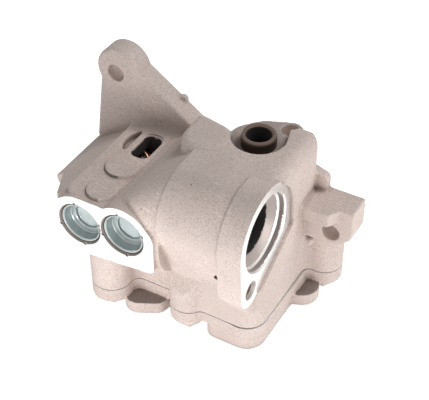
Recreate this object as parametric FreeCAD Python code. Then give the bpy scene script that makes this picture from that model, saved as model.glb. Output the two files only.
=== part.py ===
import FreeCAD, Part
import math
import os

# Engine oil pump: external gear pump with a suction chamber, two spool valves and a bolted gear cover.
# Millimetres. The origin is on the outlet spigot's axis at the machined ear face.
# +X points out of the suction inlet, +Y towards the engine side, +Z along the gear axes away from the cover.

V = FreeCAD.Vector
AXIS_X = V(1, 0, 0)
AXIS_Y = V(0, 1, 0)
AXIS_Z = V(0, 0, 1)

# Fits and clearances
RUNNING = 0.04          # radial play of shafts and pistons in their bores
END_PLAY = 0.05         # axial play of the gears at each end
BOLT_CLEARANCE = 0.3    # radial room round a screw in the cover
SPRING_CLEARANCE = 0.5  # radial room round a spring in its bore

# Levels along Z
EAR_Z = 0.0             # machined ear face
SEAM_Z = -73.0          # joint face between housing and cover
LEDGE_Z = -54.5         # top of the upright band above the joint face
DECK_Z = -17.0          # top of the valve body

# Suction chamber, a barrel lying along X
CHAMBER_Y = -35.0
CHAMBER_Z = -18.0
CHAMBER_R = 22.5
CHAMBER_LEFT_X = -21.5
COLLAR_X = 10.7         # where the thicker inlet collar starts
COLLAR_STEP = 1.5       # how far the collar stands over the barrel
INLET_X = 23.0          # machined inlet face
INLET_R = 18.8
INLET_DEPTH = 4.0
INLET_LAND_R = 17.6      # where the funnel behind the bore starts
FUNNEL_DEPTH = 2.8
INLET_CHAMFER = 0.8
CAVITY_R = 12.9
CAVITY_DEPTH = 40.0
INLET_RIM = 4.5         # width of the machined ring round the inlet
INLET_BOLT_Y = -48.8
INLET_BOLT_Z = -42.3
INLET_BOLT_R = 3.4      # M8 thread, core radius
INLET_BOLT_DEPTH = 16.0
INLET_BOLT_PAD_R = 8.8
FACE_MARGIN = 0.5       # the milling cut runs this far past the pad
PAD_CORNER_Y = -12.5
PAD_CORNER_Z = -29.5
PAD_CORNER_R = 2.0

# Upright walls of the gear case
SIDE_X = 25.0
FRONT_Y = -46.0
FRONT_LEFT_Y = -41.0
REAR_Y = 16.0
LEFT_X = -60.0
CORNER_R = 10.3
CASE_CORNER_R = 6.0
SHOULDER_R = 8.5       # rounding between the case top and the right side

# Gears
TEETH = 11
MODULE = 3.0
PRESSURE_ANGLE = 25.0
BACKLASH = 0.12         # taken off each tooth's thickness
TIP_CLEARANCE = 0.12    # between tooth tips and the case
GEAR_WIDTH = 30.0
GEAR_Y = -12.0
DRIVE_X = 0.0
SHAFT_R = 7.0
BUSH_WALL = 1.5
UPPER_BUSH_LENGTH = 15.0
SPINDLE_R = 6.0
SPINDLE_DEPTH = 10.0    # how deep the idler spindle is pressed into the cover
SPINDLE_TOP_DEPTH = 3.0  # and into the housing
IDLER_BUSH_WALL = 1.25
KEY_WIDTH = 3.0
KEY_LENGTH = 16.0
KEY_HEIGHT = 4.0
HEX_FLATS = 10.0
HEX_DEPTH = 13.0
CASE_TIP_CUT = 0.3      # addendum shortened for so few teeth

# Ports inside the casting
SUCTION_PORT_R = 6.0
SUCTION_PORT_X = -14.0
SUCTION_PORT_Y = -26.5
OUTLET_R = 5.6
OUTLET_LEVEL = -17.8
CROSS_WAY_R = 5.0
PRESSURE_PORT_X = -13.0
PRESSURE_PORT_Y = 2.5

# Outlet spigot
SPIGOT_R = 8.5
SPIGOT_BORE_R = 6.1
SPIGOT_HEIGHT = 6.0
SPIGOT_SEAT_R = 7.8
SPIGOT_SEAT_DEPTH = 10.0
SPIGOT_CHAMFER = 0.8

# Ear with its bolt hole
EAR_R = 16.4
EAR_DEPTH = 12.0
SPOT_FACE_R = 13.2
SPOT_REAR = (-1.5, 24.0, 8.0)
SPOT_LEFT = (-14.0, 16.0, 6.0)
EAR_HOLE_X = 8.2
EAR_HOLE_Y = 16.6
EAR_HOLE_R = 4.5
EAR_LOBE_R = 6.4
EAR_BACK = (0.5, 7.0, 12.3)
EAR_SPOT_MARGIN = 0.6  # room cut round the bolt hole above the ear face
REAR_STEP_Z = -11.0    # the casting drops to this level behind the hump
REAR_STEP_Y = 0.5
REAR_STEP_LEFT_X = -33.0
BESIDE_LEFT_X = -23.0   # the same drop beside the hump's round end
BESIDE_RIGHT_X = -4.0
BESIDE_FRONT_Y = -9.0

# Valve body
VALVE_FACE_Y = -58.5
VALVE_REAR_Y = 15.5
VALVE_RIGHT_X = -22.6
VALVE_FLOOR_Z = -49.0
CONTROL_X = -63.3
CONTROL_Z = -32.8
RELIEF_X = -39.3
RELIEF_Z = -29.2
PLUG_R = 11.0
PLUG_LENGTH = 8.0
PLUG_WALL = 1.3
PLUG_RECESS = 1.0
PLUG_STEP_R = 6.6
PLUG_STEP = 1.6
VALVE_WALL = 4.8
RELIEF_THINNER = 0.3   # the wall round the relief bore is a little thinner
SPOOL_R = 8.2
SPOOL_LENGTH = 27.0
SPOOL_WALL = 2.0
SPOOL_TRAVEL = 8.0
STEM_R = 2.3
STEM_LENGTH = 22.0
RELIEF_PISTON_R = 8.2
RELIEF_PISTON_LENGTH = 18.0
RELIEF_TRAVEL = 6.0
RELIEF_SEAT_Y = -8.0
SPRING_WIRE_R = 0.8
CONTROL_TURNS = 7
RELIEF_TURNS = 6
SEAT_THICKNESS = 1.5
WING_RIDGE = (-73.0, -20.5)   # where the flat deck turns down into the sloping wing
WING_EDGE = (-97.6, -35.5)    # free left edge of the wing's upper surface
WING_FRONT_Y = -30.5
GUSSET_UPPER = (-89.0, -33.2, 2.5)  # section corners of the web between wing and valve face
GUSSET_LOWER = (-84.5, -40.0, 3.0)
GUSSET_REAR = (-88.6, -32.5, 2.5)   # plan corners of the same web
GUSSET_FRONT = (-76.5, -49.5, 4.5)
BORE_SADDLE_X = -52.0
WING_THICKNESS = 6.0
WINDOW_X = -56.3
WINDOW_Y = -9.65
WINDOW_WIDTH = 9.6
WINDOW_LENGTH = 17.7
WINDOW_CORNER_R = 3.5
WINDOW_DEPTH = 16.0
RECESS_R = 12.2         # crescent recess beside the window
RECESS_X = -56.4
RECESS_Y = -8.5
RECESS_RIGHT_X = -64.4
RECESS_DEPTH = 4.0
DECK_BOSS_HEIGHT = 1.4
DECK_THICKNESS = 8.0
DECK_CORNER_R = 6.0
DECK_FRONT_MARGIN = 2.5
SMALL_BOSS = (-56.4, -48.0, 7.4)
LARGE_BOSS = (-57.6, -29.0, 8.2)

# Mounting arm
ARM_FRONT_Y = 4.5
ARM_THICKNESS = 11.5
ARM_HOLE_X = -82.0
ARM_HOLE_Z = 9.0
ARM_HOLE_R = 4.5
ARM_LOBE = (-80.6, 10.4, 12.3)
ARM_WEB_TOP = (-80.0, 8.0, 10.6)
ARM_WEB_LEFT = (-94.0, -33.0, 2.0)
ARM_WEB_RIGHT = (-34.0, -14.0, 2.5)
ARM_FOOT_FILLET = 7.0
ARM_EDGE_R = 1.5
HUMP = (-20.5, -11.8, 12.5)
HUMP_LEFT = (-30.5, 0.2, 2.8)
HUMP_TOP_Z = 5.2
HUMP_EDGE_R = 4.0
RAMP_STEP = 0.8         # how far the ramp ends below the barrel's surface
RAMP_LOW_X = -45.0
RAMP_LOW_Z = -14.8
RAMP_LOW_R = 10.0
RAMP_REAR_Y = 6.0
RAMP_REAR_R = 3.0
RAMP_DEPTH = 18.0
ARM_BUMP_X = -49.0      # small cast pip on the arm's upper edge
ARM_BUMP_R = 2.2

# Mounting lug on the right
LUG_RIGHT_X = 49.5
LUG_FRONT_Y = 2.0
LUG_REAR_Y = 16.5
LUG_TOP_Z = -24.8
LUG_FLOOR_Z = -47.5
LUG_HOLE_X = 38.6
LUG_HOLE_Z = -40.2
LUG_HOLE_R = 4.5
LUG_CORNER_R = 5.0
FLAP_LENGTH = 17.5
FLAP_DEPTH = 6.0
FLAP_HEIGHT = 7.5
RIB_REACH = 6.0          # rib between the case and the lug's top
RIB_TOP_Z = -13.0
RIB_THICKNESS = 5.0

# Cover screws: place, boss radius and height of the boss over the joint face
SCREW_BOSSES = [
    (-55.4, -46.4, 10.5, 26.0),
    (-14.0, -42.0, 9.3, 19.0),
    (31.0, 16.0, 9.6, 28.5),
    (-15.0, 18.0, 9.3, 22.0),
    (-55.0, 12.0, 9.6, 22.0),
]
BOSS_BLEND = 4.0
SCREW_R = 3.0
SCREW_DEPTH = 16.0
HEAD_R = 6.4
HEAD_HEIGHT = 5.0
HEAD_FLATS = 10.0
FLANGE_HEIGHT = 1.4
DOWEL_R = 3.0
DOWEL_LENGTH = 12.0
DOWELS = [(19.0, -39.0), (-55.0, -28.0)]

# Gear cover
COVER_FLANGE = 6.5
COVER_BOSS = 8.5
COVER_DEPTH = 15.0
COVER_PROUD = 1.2       # how far the cover stands out of the housing on the right
LOBE_FRONT = [(-41.0, -44.5, 7.5), (-33.0, -42.0, 6.0), (-36.0, -30.0, 12.0)]
LOBE_RIGHT = [(26.0, 1.5, 9.0), (15.5, 1.5, 12.5)]
COVER_DEEP_X = 2.0       # corner centre where the deepest part of the cover starts
COVER_SHALLOW = 2.5
LOBE_SHALLOW = 1.5


def cylinder(radius, length, base, axis):
    return Part.makeCylinder(radius, length, base, axis)


def outer_tangent(first, second):
    """End points of the straight edge that runs clockwise-outside from one circle to the next."""
    (x0, y0, r0) = first
    (x1, y1, r1) = second
    span = math.hypot(x1 - x0, y1 - y0)
    if span <= abs(r0 - r1):
        return None
    heading = math.atan2(y1 - y0, x1 - x0)
    normal = heading - math.acos((r0 - r1) / span)
    start = (x0 + r0 * math.cos(normal), y0 + r0 * math.sin(normal))
    end = (x1 + r1 * math.cos(normal), y1 + r1 * math.sin(normal))
    return start, end, normal


def belt_links(circles):
    """The straight runs of a belt pulled round the circles, in order."""
    links = {}
    for i, first in enumerate(circles):
        for j, second in enumerate(circles):
            if i == j:
                continue
            run = outer_tangent(first, second)
            if run is None:
                continue
            start, end, normal = run
            reach = start[0] * math.cos(normal) + start[1] * math.sin(normal)
            outside = [c[0] * math.cos(normal) + c[1] * math.sin(normal) + c[2] - reach for c in circles]
            if max(outside) < 1e-6:
                links[i] = (j, start, end, normal)
    return links


def belt_face(circles, place):
    """A flat face whose outline is a belt round circles (u, v, radius); place maps (u, v) to space."""
    links = belt_links(circles)
    first = min(links)
    current = first
    edges = []
    while True:
        following, start, end, normal = links[current]
        after, next_start, _, next_normal = links[following]
        edges.append(Part.makeLine(place(*start), place(*end)))
        u, v, radius = circles[following]
        turn = (next_normal - normal) % (2 * math.pi)
        middle = normal + turn / 2
        if radius * turn > 1e-4:
            on_arc = place(u + radius * math.cos(middle), v + radius * math.sin(middle))
            edges.append(Part.Arc(place(*end), on_arc, place(*next_start)).toShape())
        current = following
        if current == first:
            break
    return Part.Face(Part.Wire(Part.__sortEdges__(edges)))


def belt_along_z(circles, low, high):
    return belt_face(circles, lambda u, v: V(u, v, low)).extrude(V(0, 0, high - low))


def belt_along_y(circles, near, far):
    """Circles are given as (x, z, radius)."""
    return belt_face(circles, lambda u, v: V(u, near, v)).extrude(V(0, far - near, 0))


def belt_along_x(circles, low, high):
    """Circles are given as (y, z, radius)."""
    return belt_face(circles, lambda u, v: V(low, u, v)).extrude(V(high - low, 0, 0))


def fuse_all(shapes):
    return shapes[0].multiFuse(shapes[1:]).removeSplitter()


def case_corners(grow=0.0):
    """Belt circles of the gear case: the deep right half and the shallower left half."""
    right_x = SIDE_X - CORNER_R
    right = [
        (right_x, FRONT_Y + CORNER_R, CORNER_R + grow),
        (-14.0, FRONT_Y + CASE_CORNER_R, CASE_CORNER_R + grow),
        (-14.0, REAR_Y - CASE_CORNER_R, CASE_CORNER_R + grow),
        (SIDE_X - CASE_CORNER_R, REAR_Y - CASE_CORNER_R, CASE_CORNER_R + grow),
    ]
    left = [
        (-14.0, FRONT_LEFT_Y + CASE_CORNER_R, CASE_CORNER_R + grow),
        (LEFT_X + CASE_CORNER_R, FRONT_LEFT_Y + CASE_CORNER_R, CASE_CORNER_R + grow),
        (LEFT_X + CASE_CORNER_R, REAR_Y - CASE_CORNER_R, CASE_CORNER_R + grow),
        (-14.0, REAR_Y - CASE_CORNER_R, CASE_CORNER_R + grow),
    ]
    return right, left


def joint_outline(low, high, grow=0.0):
    """Upright slab with the outline of the joint face, its screw bosses blended into the walls."""
    right, left = case_corners(grow)
    faces = [belt_face(right, lambda u, v: V(u, v, low)), belt_face(left, lambda u, v: V(u, v, low))]
    for x, y, radius, _ in SCREW_BOSSES:
        circle = Part.makeCircle(radius + grow, V(x, y, low), AXIS_Z)
        faces.append(Part.Face(Part.Wire(circle)))
    outline = faces[0].multiFuse(faces[1:]).removeSplitter()
    face = outline.Faces[0] if len(outline.Faces) == 1 else outline
    rounded = face.makeOffset2D(BOSS_BLEND, 0, False, False, True)
    rounded = rounded.makeOffset2D(-BOSS_BLEND, 0, False, False, True)
    return Part.Face(rounded.Faces[0].OuterWire).extrude(V(0, 0, high - low))


def suction_block():
    """The barrel and the case below it: one profile across Y and Z, carried along X."""
    run = (CHAMBER_Y, CHAMBER_Z, CHAMBER_R)
    foot = (FRONT_Y + 0.5, LEDGE_Z + 0.5, 0.5)
    back = (REAR_Y - 2.0, CHAMBER_Z + CHAMBER_R - 2.0, 2.0)
    back_foot = (REAR_Y - 0.5, LEDGE_Z + 0.5, 0.5)
    profile = [run, foot, back_foot, back]
    left = belt_along_x(profile, CHAMBER_LEFT_X, 0.0)
    right = belt_along_x(profile, -1.0, SIDE_X)
    column, _ = case_corners()
    crown = CHAMBER_Z + CHAMBER_R
    shoulder = belt_along_y(
        [
            (SIDE_X - SHOULDER_R, crown - SHOULDER_R, SHOULDER_R),
            (SIDE_X - 0.5, SEAM_Z + 0.5, 0.5),
            (-1.5, SEAM_Z + 0.5, 0.5),
            (-1.5, crown - 0.5, 0.5),
        ],
        FRONT_Y,
        REAR_Y,
    )
    square_end = cylinder(CHAMBER_R, INLET_X + 1.0, V(-1.0, CHAMBER_Y, CHAMBER_Z), AXIS_X)
    right = right.common(belt_along_z(column, SEAM_Z, crown).common(shoulder).fuse(square_end))
    return left.fuse(right)


def inlet_collar():
    """Thick collar round the inlet with the pad of its bolt hole."""
    return inlet_outline(CHAMBER_R + COLLAR_STEP, INLET_BOLT_PAD_R, COLLAR_X, INLET_X)


def inlet_outline(ring_radius, pad_radius, low, high):
    """Ring round the inlet with the pad of its screw and the corner that runs into the case."""
    ring = (CHAMBER_Y, CHAMBER_Z, ring_radius)
    pad = (INLET_BOLT_Y, INLET_BOLT_Z, pad_radius)
    corner = (PAD_CORNER_Y, PAD_CORNER_Z, PAD_CORNER_R)
    return belt_along_x([ring, pad], low, high).fuse(belt_along_x([ring, corner], low, high))


def valve_body():
    """Casting round the two spool bores, with the flat deck plate and its two raised bosses."""
    wall = PLUG_R + VALVE_WALL
    floor = VALVE_FLOOR_Z
    left = [
        (CONTROL_X, CONTROL_Z, wall),
        (CONTROL_X - wall + 1.2, floor, 3.0),
        (RELIEF_X, floor + 6.0, 5.0),
        (BORE_SADDLE_X, CONTROL_Z, wall),
    ]
    right = [
        (RELIEF_X, RELIEF_Z, wall - RELIEF_THINNER),
        (VALVE_RIGHT_X - 3.0, floor + 5.5, 3.0),
        (RELIEF_X, floor + 6.0, 5.0),
        (VALVE_RIGHT_X - 8.5, RELIEF_Z + 1.0, 8.5),
    ]
    body = fuse_all([belt_along_y(left, VALVE_FACE_Y, VALVE_REAR_Y), belt_along_y(right, VALVE_FACE_Y, VALVE_REAR_Y)])
    half = WING_THICKNESS / 2
    wing = belt_along_y(
        [
            (WING_RIDGE[0], WING_RIDGE[1] - half, half),
            (WING_EDGE[0] + 1.5, WING_EDGE[1] - 2.0, 1.5),
            (WING_EDGE[0] + 2.0, WING_EDGE[1] - WING_THICKNESS + 1.5, 1.5),
            (WING_RIDGE[0], WING_RIDGE[1] - WING_THICKNESS - 4.0, 2.0),
        ],
        WING_FRONT_Y,
        ARM_FRONT_Y + ARM_THICKNESS,
    )
    gusset = belt_along_y(
        [
            (WING_RIDGE[0], WING_RIDGE[1] - half, half),
            GUSSET_UPPER,
            GUSSET_LOWER,
            (CONTROL_X, CONTROL_Z, PLUG_R),
        ],
        VALVE_FACE_Y,
        ARM_FRONT_Y,
    )
    (rear_x, rear_y, rear_r), (front_x, front_y, front_r) = GUSSET_REAR, GUSSET_FRONT
    plan = belt_along_z(
        [
            GUSSET_REAR,
            GUSSET_FRONT,
            (CONTROL_X, front_y, front_r),
            (CONTROL_X, 0.0, rear_r),
            (rear_x, 0.0, rear_r),
        ],
        VALVE_FLOOR_Z,
        DECK_Z,
    )
    corner = DECK_CORNER_R
    deck = belt_along_z(
        [
            (WING_RIDGE[0] + corner, VALVE_FACE_Y + DECK_FRONT_MARGIN + corner, corner),
            (RELIEF_X, VALVE_FACE_Y + DECK_FRONT_MARGIN + corner, corner),
            (CHAMBER_LEFT_X, WING_FRONT_Y, corner),
            (CHAMBER_LEFT_X, REAR_STEP_Y - corner, corner),
            (RELIEF_X, ARM_FRONT_Y, corner),
            (WING_RIDGE[0] + corner, ARM_FRONT_Y, corner),
        ],
        DECK_Z - DECK_THICKNESS,
        DECK_Z,
    )
    bosses = []
    root = DECK_Z - DECK_THICKNESS / 2
    for x, y, radius in (SMALL_BOSS, LARGE_BOSS):
        bosses.append(cylinder(radius, DECK_THICKNESS / 2 + DECK_BOSS_HEIGHT, V(x, y, root), AXIS_Z))
    return [body, wing, gusset.common(plan), deck] + bosses


def mounting_arm():
    """Triangular arm that carries the upper mounting hole, with a concave foot on the deck."""
    rear = ARM_FRONT_Y + ARM_THICKNESS
    low_right = (ARM_WEB_RIGHT[0], WING_EDGE[1] + 2.0, 2.0)
    web = belt_along_y([ARM_WEB_TOP, ARM_WEB_LEFT, low_right, ARM_WEB_RIGHT], ARM_FRONT_Y, rear)
    lobe = cylinder(ARM_LOBE[2], ARM_THICKNESS, V(ARM_LOBE[0], ARM_FRONT_Y, ARM_LOBE[1]), AXIS_Y)
    plate = web.fuse(lobe).removeSplitter()
    rim = [e for e in plate.Edges if e.BoundBox.YMax < ARM_FRONT_Y + 0.01 and e.BoundBox.ZMin > DECK_Z]
    plate = plate.makeFillet(ARM_EDGE_R, rim)
    low_x = WING_RIDGE[0]
    width = CHAMBER_LEFT_X - low_x
    foot = Part.makeBox(width, ARM_FOOT_FILLET + 1.0, ARM_FOOT_FILLET + 1.0,
                        V(low_x, ARM_FRONT_Y - ARM_FOOT_FILLET, DECK_Z - 1.0))
    hollow_at = V(low_x - 1.0, ARM_FRONT_Y - ARM_FOOT_FILLET, DECK_Z + ARM_FOOT_FILLET)
    foot = foot.cut(cylinder(ARM_FOOT_FILLET, width + 2.0, hollow_at, AXIS_X))
    slope = outer_tangent(ARM_WEB_RIGHT, ARM_WEB_TOP)
    (low_x, low_z), (high_x, high_z), _ = slope
    level = low_z + (high_z - low_z) * (ARM_BUMP_X - low_x) / (high_x - low_x)
    pip = cylinder(ARM_BUMP_R, ARM_BUMP_R * 1.5, V(ARM_BUMP_X, rear - ARM_BUMP_R * 1.5, level), AXIS_Y)
    return [plate, foot.common(web_shadow(web)), pip]


def web_shadow(web):
    """The web carried forward, which keeps the foot within the arm's outline."""
    shadow = web.copy()
    shadow.translate(V(0, -ARM_FOOT_FILLET, 0))
    return shadow.fuse(web)


def hump():
    """Rounded shoulder beside the spigot, between the arm and the chamber."""
    block = belt_along_z([HUMP, HUMP_LEFT], DECK_Z, HUMP_TOP_Z)
    rim = [e for e in block.Edges if e.BoundBox.ZMin > HUMP_TOP_Z - 0.01]
    return block.makeFillet(HUMP_EDGE_R, rim)


def chamber_ramp():
    """Shoulder that rises from the deck to the left end of the suction chamber."""
    rear = RAMP_REAR_Y - RAMP_REAR_R
    high = [
        (CHAMBER_Y, CHAMBER_Z, CHAMBER_R - RAMP_STEP),
        (CHAMBER_Y, DECK_Z - RAMP_DEPTH, CHAMBER_R - RAMP_STEP),
        (rear, DECK_Z - RAMP_DEPTH, RAMP_REAR_R),
        (rear, CHAMBER_Z + CHAMBER_R - RAMP_STEP - RAMP_REAR_R, RAMP_REAR_R),
    ]
    low_r = RAMP_LOW_R
    low = [
        (VALVE_FACE_Y + low_r, RAMP_LOW_Z - low_r, low_r),
        (VALVE_FACE_Y + low_r, DECK_Z - RAMP_DEPTH, low_r),
        (rear, DECK_Z - RAMP_DEPTH, RAMP_REAR_R),
        (rear, RAMP_LOW_Z - RAMP_REAR_R, RAMP_REAR_R),
    ]
    near = belt_face(high, lambda u, v: V(CHAMBER_LEFT_X + 0.5, u, v)).OuterWire
    far = belt_face(low, lambda u, v: V(RAMP_LOW_X, u, v)).OuterWire
    return Part.makeLoft([near, far], True, True)


def mounting_lug():
    """Lug on the right with its bolt hole along Y and the short flap over the hole."""
    inner = SIDE_X - 6.0
    block = belt_along_y(
        [
            (inner, LUG_TOP_Z - 1.0, 1.0),
            (LUG_RIGHT_X - 1.0, LUG_TOP_Z - 1.0, 1.0),
            (LUG_RIGHT_X - LUG_CORNER_R, LUG_FLOOR_Z + 9.0, LUG_CORNER_R),
            (LUG_HOLE_X, LUG_HOLE_Z, LUG_HOLE_Z - LUG_FLOOR_Z),
            (inner, LUG_FLOOR_Z + 1.0, 1.0),
        ],
        LUG_FRONT_Y,
        LUG_REAR_Y,
    )
    flap = belt_along_z(
        [
            (inner, LUG_FRONT_Y + 2.0, 1.0),
            (inner, LUG_FRONT_Y - FLAP_DEPTH + 1.0, 1.0),
            (SIDE_X + FLAP_LENGTH - 4.0, LUG_FRONT_Y - FLAP_DEPTH + 1.0, 1.0),
            (SIDE_X + FLAP_LENGTH, LUG_FRONT_Y + 2.0, 1.0),
        ],
        LUG_TOP_Z - FLAP_HEIGHT,
        LUG_TOP_Z,
    )
    rib = belt_along_y(
        [
            (inner, RIB_TOP_Z - 2.0, 2.0),
            (SIDE_X + RIB_REACH - 3.0, RIB_TOP_Z - 6.0, 3.0),
            (SIDE_X + RIB_REACH - 2.0, LUG_TOP_Z - 2.0, 2.0),
            (inner, LUG_TOP_Z - 2.0, 1.0),
        ],
        LUG_REAR_Y - RIB_THICKNESS,
        LUG_REAR_Y,
    )
    return [block, flap, rib]


def outlet_ear():
    """Machined ear that carries the spigot and one bolt hole."""
    return belt_along_z(
        [(0.0, 0.0, EAR_R), EAR_BACK, (EAR_HOLE_X, EAR_HOLE_Y, EAR_LOBE_R)],
        EAR_Z - EAR_DEPTH,
        EAR_Z,
    )


def screw_bosses():
    shapes = []
    for x, y, radius, height in SCREW_BOSSES:
        shapes.append(cylinder(radius, height, V(x, y, SEAM_Z), AXIS_Z))
    return shapes


def valve_bores():
    """Plug seats, spool bores, the window over the control spool and its pocket."""
    cuts = []
    for x, z, radius, floor_y in (
        (CONTROL_X, CONTROL_Z, SPOOL_R + RUNNING, control_floor()),
        (RELIEF_X, RELIEF_Z, RELIEF_PISTON_R + RUNNING, RELIEF_SEAT_Y),
    ):
        seat = PLUG_LENGTH + PLUG_RECESS
        cuts.append(cylinder(PLUG_R, seat + 1.0, V(x, VALVE_FACE_Y - 1.0, z), AXIS_Y))
        cuts.append(cylinder(radius, floor_y - VALVE_FACE_Y, V(x, VALVE_FACE_Y, z), AXIS_Y))
        cuts.append(Part.makeCone(PLUG_R + 1.0, PLUG_R, 1.0, V(x, VALVE_FACE_Y, z), AXIS_Y))
    over = DECK_Z + DECK_BOSS_HEIGHT + 1.0
    radius = WINDOW_CORNER_R
    wide = WINDOW_WIDTH / 2 - radius
    tall = WINDOW_LENGTH / 2 - radius
    corners = [
        (WINDOW_X - wide, WINDOW_Y - tall, radius),
        (WINDOW_X - wide, WINDOW_Y + tall, radius),
        (WINDOW_X + wide, WINDOW_Y + tall, radius),
        (WINDOW_X + wide, WINDOW_Y - tall, radius),
    ]
    cuts.append(belt_along_z(corners, DECK_Z - WINDOW_DEPTH, over))
    floor = DECK_Z - RECESS_DEPTH
    round_cut = cylinder(RECESS_R, over - floor, V(RECESS_X, RECESS_Y, floor), AXIS_Z)
    side = 2 * RECESS_R
    left_of = Part.makeBox(side, side, over - floor, V(RECESS_RIGHT_X - side, RECESS_Y - RECESS_R, floor))
    cuts.append(round_cut.common(left_of))
    return cuts


def control_floor():
    """Closed end of the control bore: spool, stem, travel and a little room."""
    stem_tip = spool_front() + SPOOL_LENGTH + STEM_LENGTH
    return stem_tip + SPOOL_TRAVEL + SEAT_THICKNESS + 1.0


def spool_front():
    return VALVE_FACE_Y + PLUG_RECESS + PLUG_LENGTH + 1.0


def idler_x():
    return DRIVE_X - MODULE * TEETH


def tip_radius():
    return MODULE * (TEETH / 2 + 1) - CASE_TIP_CUT


def gear_pocket(extra=0.0):
    """Two round chambers that run into each other."""
    depth = GEAR_WIDTH + 2 * END_PLAY
    radius = tip_radius() + TIP_CLEARANCE
    wells = []
    for x in (DRIVE_X, idler_x()):
        wells.append(cylinder(radius, depth + extra, V(x, GEAR_Y, SEAM_Z - extra), AXIS_Z))
    return wells


def pocket_top():
    return SEAM_Z + GEAR_WIDTH + 2 * END_PLAY


def shaft_bores():
    bush_r = SHAFT_R + RUNNING + BUSH_WALL
    upper = cylinder(bush_r, UPPER_BUSH_LENGTH + 2.0, V(DRIVE_X, GEAR_Y, pocket_top() - 0.5), AXIS_Z)
    spindle = cylinder(SPINDLE_R, SPINDLE_TOP_DEPTH + 0.7, V(idler_x(), GEAR_Y, pocket_top() - 0.5), AXIS_Z)
    return [upper, spindle]


def oil_ways():
    """Stepped inlet, suction chamber, its port to the gears, and the way out to the spigot."""
    inward = V(-1, 0, 0)
    mouth = V(INLET_X, CHAMBER_Y, CHAMBER_Z)
    reach = V(SIDE_X - INLET_X, 0, 0)
    cuts = [
        cylinder(INLET_R, INLET_DEPTH + reach.x, mouth + reach, inward),
        Part.makeCone(INLET_LAND_R, CAVITY_R, FUNNEL_DEPTH, mouth + V(-INLET_DEPTH, 0, 0), inward),
        cylinder(CAVITY_R, CAVITY_DEPTH, mouth, inward),
        Part.makeCone(INLET_R + INLET_CHAMFER, INLET_R, INLET_CHAMFER, mouth, inward),
        cylinder(INLET_BOLT_R, INLET_BOLT_DEPTH, V(INLET_X, INLET_BOLT_Y, INLET_BOLT_Z), inward),
    ]
    port = V(SUCTION_PORT_X, SUCTION_PORT_Y, pocket_top() - 0.5)
    cuts.append(cylinder(SUCTION_PORT_R, CHAMBER_Z - port.z, port, AXIS_Z))
    down = V(0, 0, -1)
    cuts.append(cylinder(SPIGOT_SEAT_R, SPIGOT_SEAT_DEPTH, V(0, 0, EAR_Z), down))
    cuts.append(cylinder(OUTLET_R, EAR_Z - OUTLET_LEVEL + OUTLET_R, V(0, 0, EAR_Z), down))
    cross = V(PRESSURE_PORT_X, 0.0, OUTLET_LEVEL)
    cuts.append(cylinder(CROSS_WAY_R, DRIVE_X - PRESSURE_PORT_X, cross, AXIS_X))
    riser = V(PRESSURE_PORT_X, PRESSURE_PORT_Y, pocket_top() - 0.5)
    cuts.append(cylinder(OUTLET_R, OUTLET_LEVEL - riser.z, riser, AXIS_Z))
    return cuts


def machined_faces():
    """Milled spot face round the spigot, milled inlet face and mounting holes."""
    high = HUMP_TOP_Z + 1.0
    spot = belt_along_z(
        [(0.0, 0.0, SPOT_FACE_R), SPOT_REAR, SPOT_LEFT],
        EAR_Z,
        EAR_Z + high,
    )
    bolt_room = cylinder(EAR_HOLE_R + EAR_SPOT_MARGIN, high, V(EAR_HOLE_X, EAR_HOLE_Y, EAR_Z), AXIS_Z)
    lug_back = Part.makeBox(
        LUG_RIGHT_X - SIDE_X + LUG_CORNER_R,
        LUG_REAR_Y,
        LUG_TOP_Z - LUG_FLOOR_Z + LUG_CORNER_R,
        V(SIDE_X - LUG_CORNER_R, LUG_REAR_Y, LUG_FLOOR_Z - 0.5),
    )
    face = inlet_outline(INLET_R + INLET_RIM, INLET_BOLT_PAD_R + FACE_MARGIN, INLET_X, SIDE_X + 1.0)
    arm_hole = V(ARM_HOLE_X, ARM_FRONT_Y - 1.0, ARM_HOLE_Z)
    lug_hole = V(LUG_HOLE_X, LUG_FRONT_Y - FLAP_DEPTH - 1.0, LUG_HOLE_Z)
    ear_hole = V(EAR_HOLE_X, EAR_HOLE_Y, EAR_Z - EAR_DEPTH - 1.0)
    return [
        spot,
        face,
        bolt_room,
        lug_back,
        cylinder(ARM_HOLE_R, ARM_THICKNESS + 2.0, arm_hole, AXIS_Y),
        cylinder(LUG_HOLE_R, LUG_REAR_Y - lug_hole.y + 1.0, lug_hole, AXIS_Y),
        cylinder(EAR_HOLE_R, EAR_DEPTH + 2.0, ear_hole, AXIS_Z),
    ]


def joint_holes():
    cuts = []
    for x, y, _, _ in SCREW_BOSSES:
        cuts.append(cylinder(SCREW_R, SCREW_DEPTH, V(x, y, SEAM_Z), AXIS_Z))
    for x, y in DOWELS:
        cuts.append(cylinder(DOWEL_R, DOWEL_LENGTH / 2, V(x, y, SEAM_Z), AXIS_Z))
    return cuts


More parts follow.
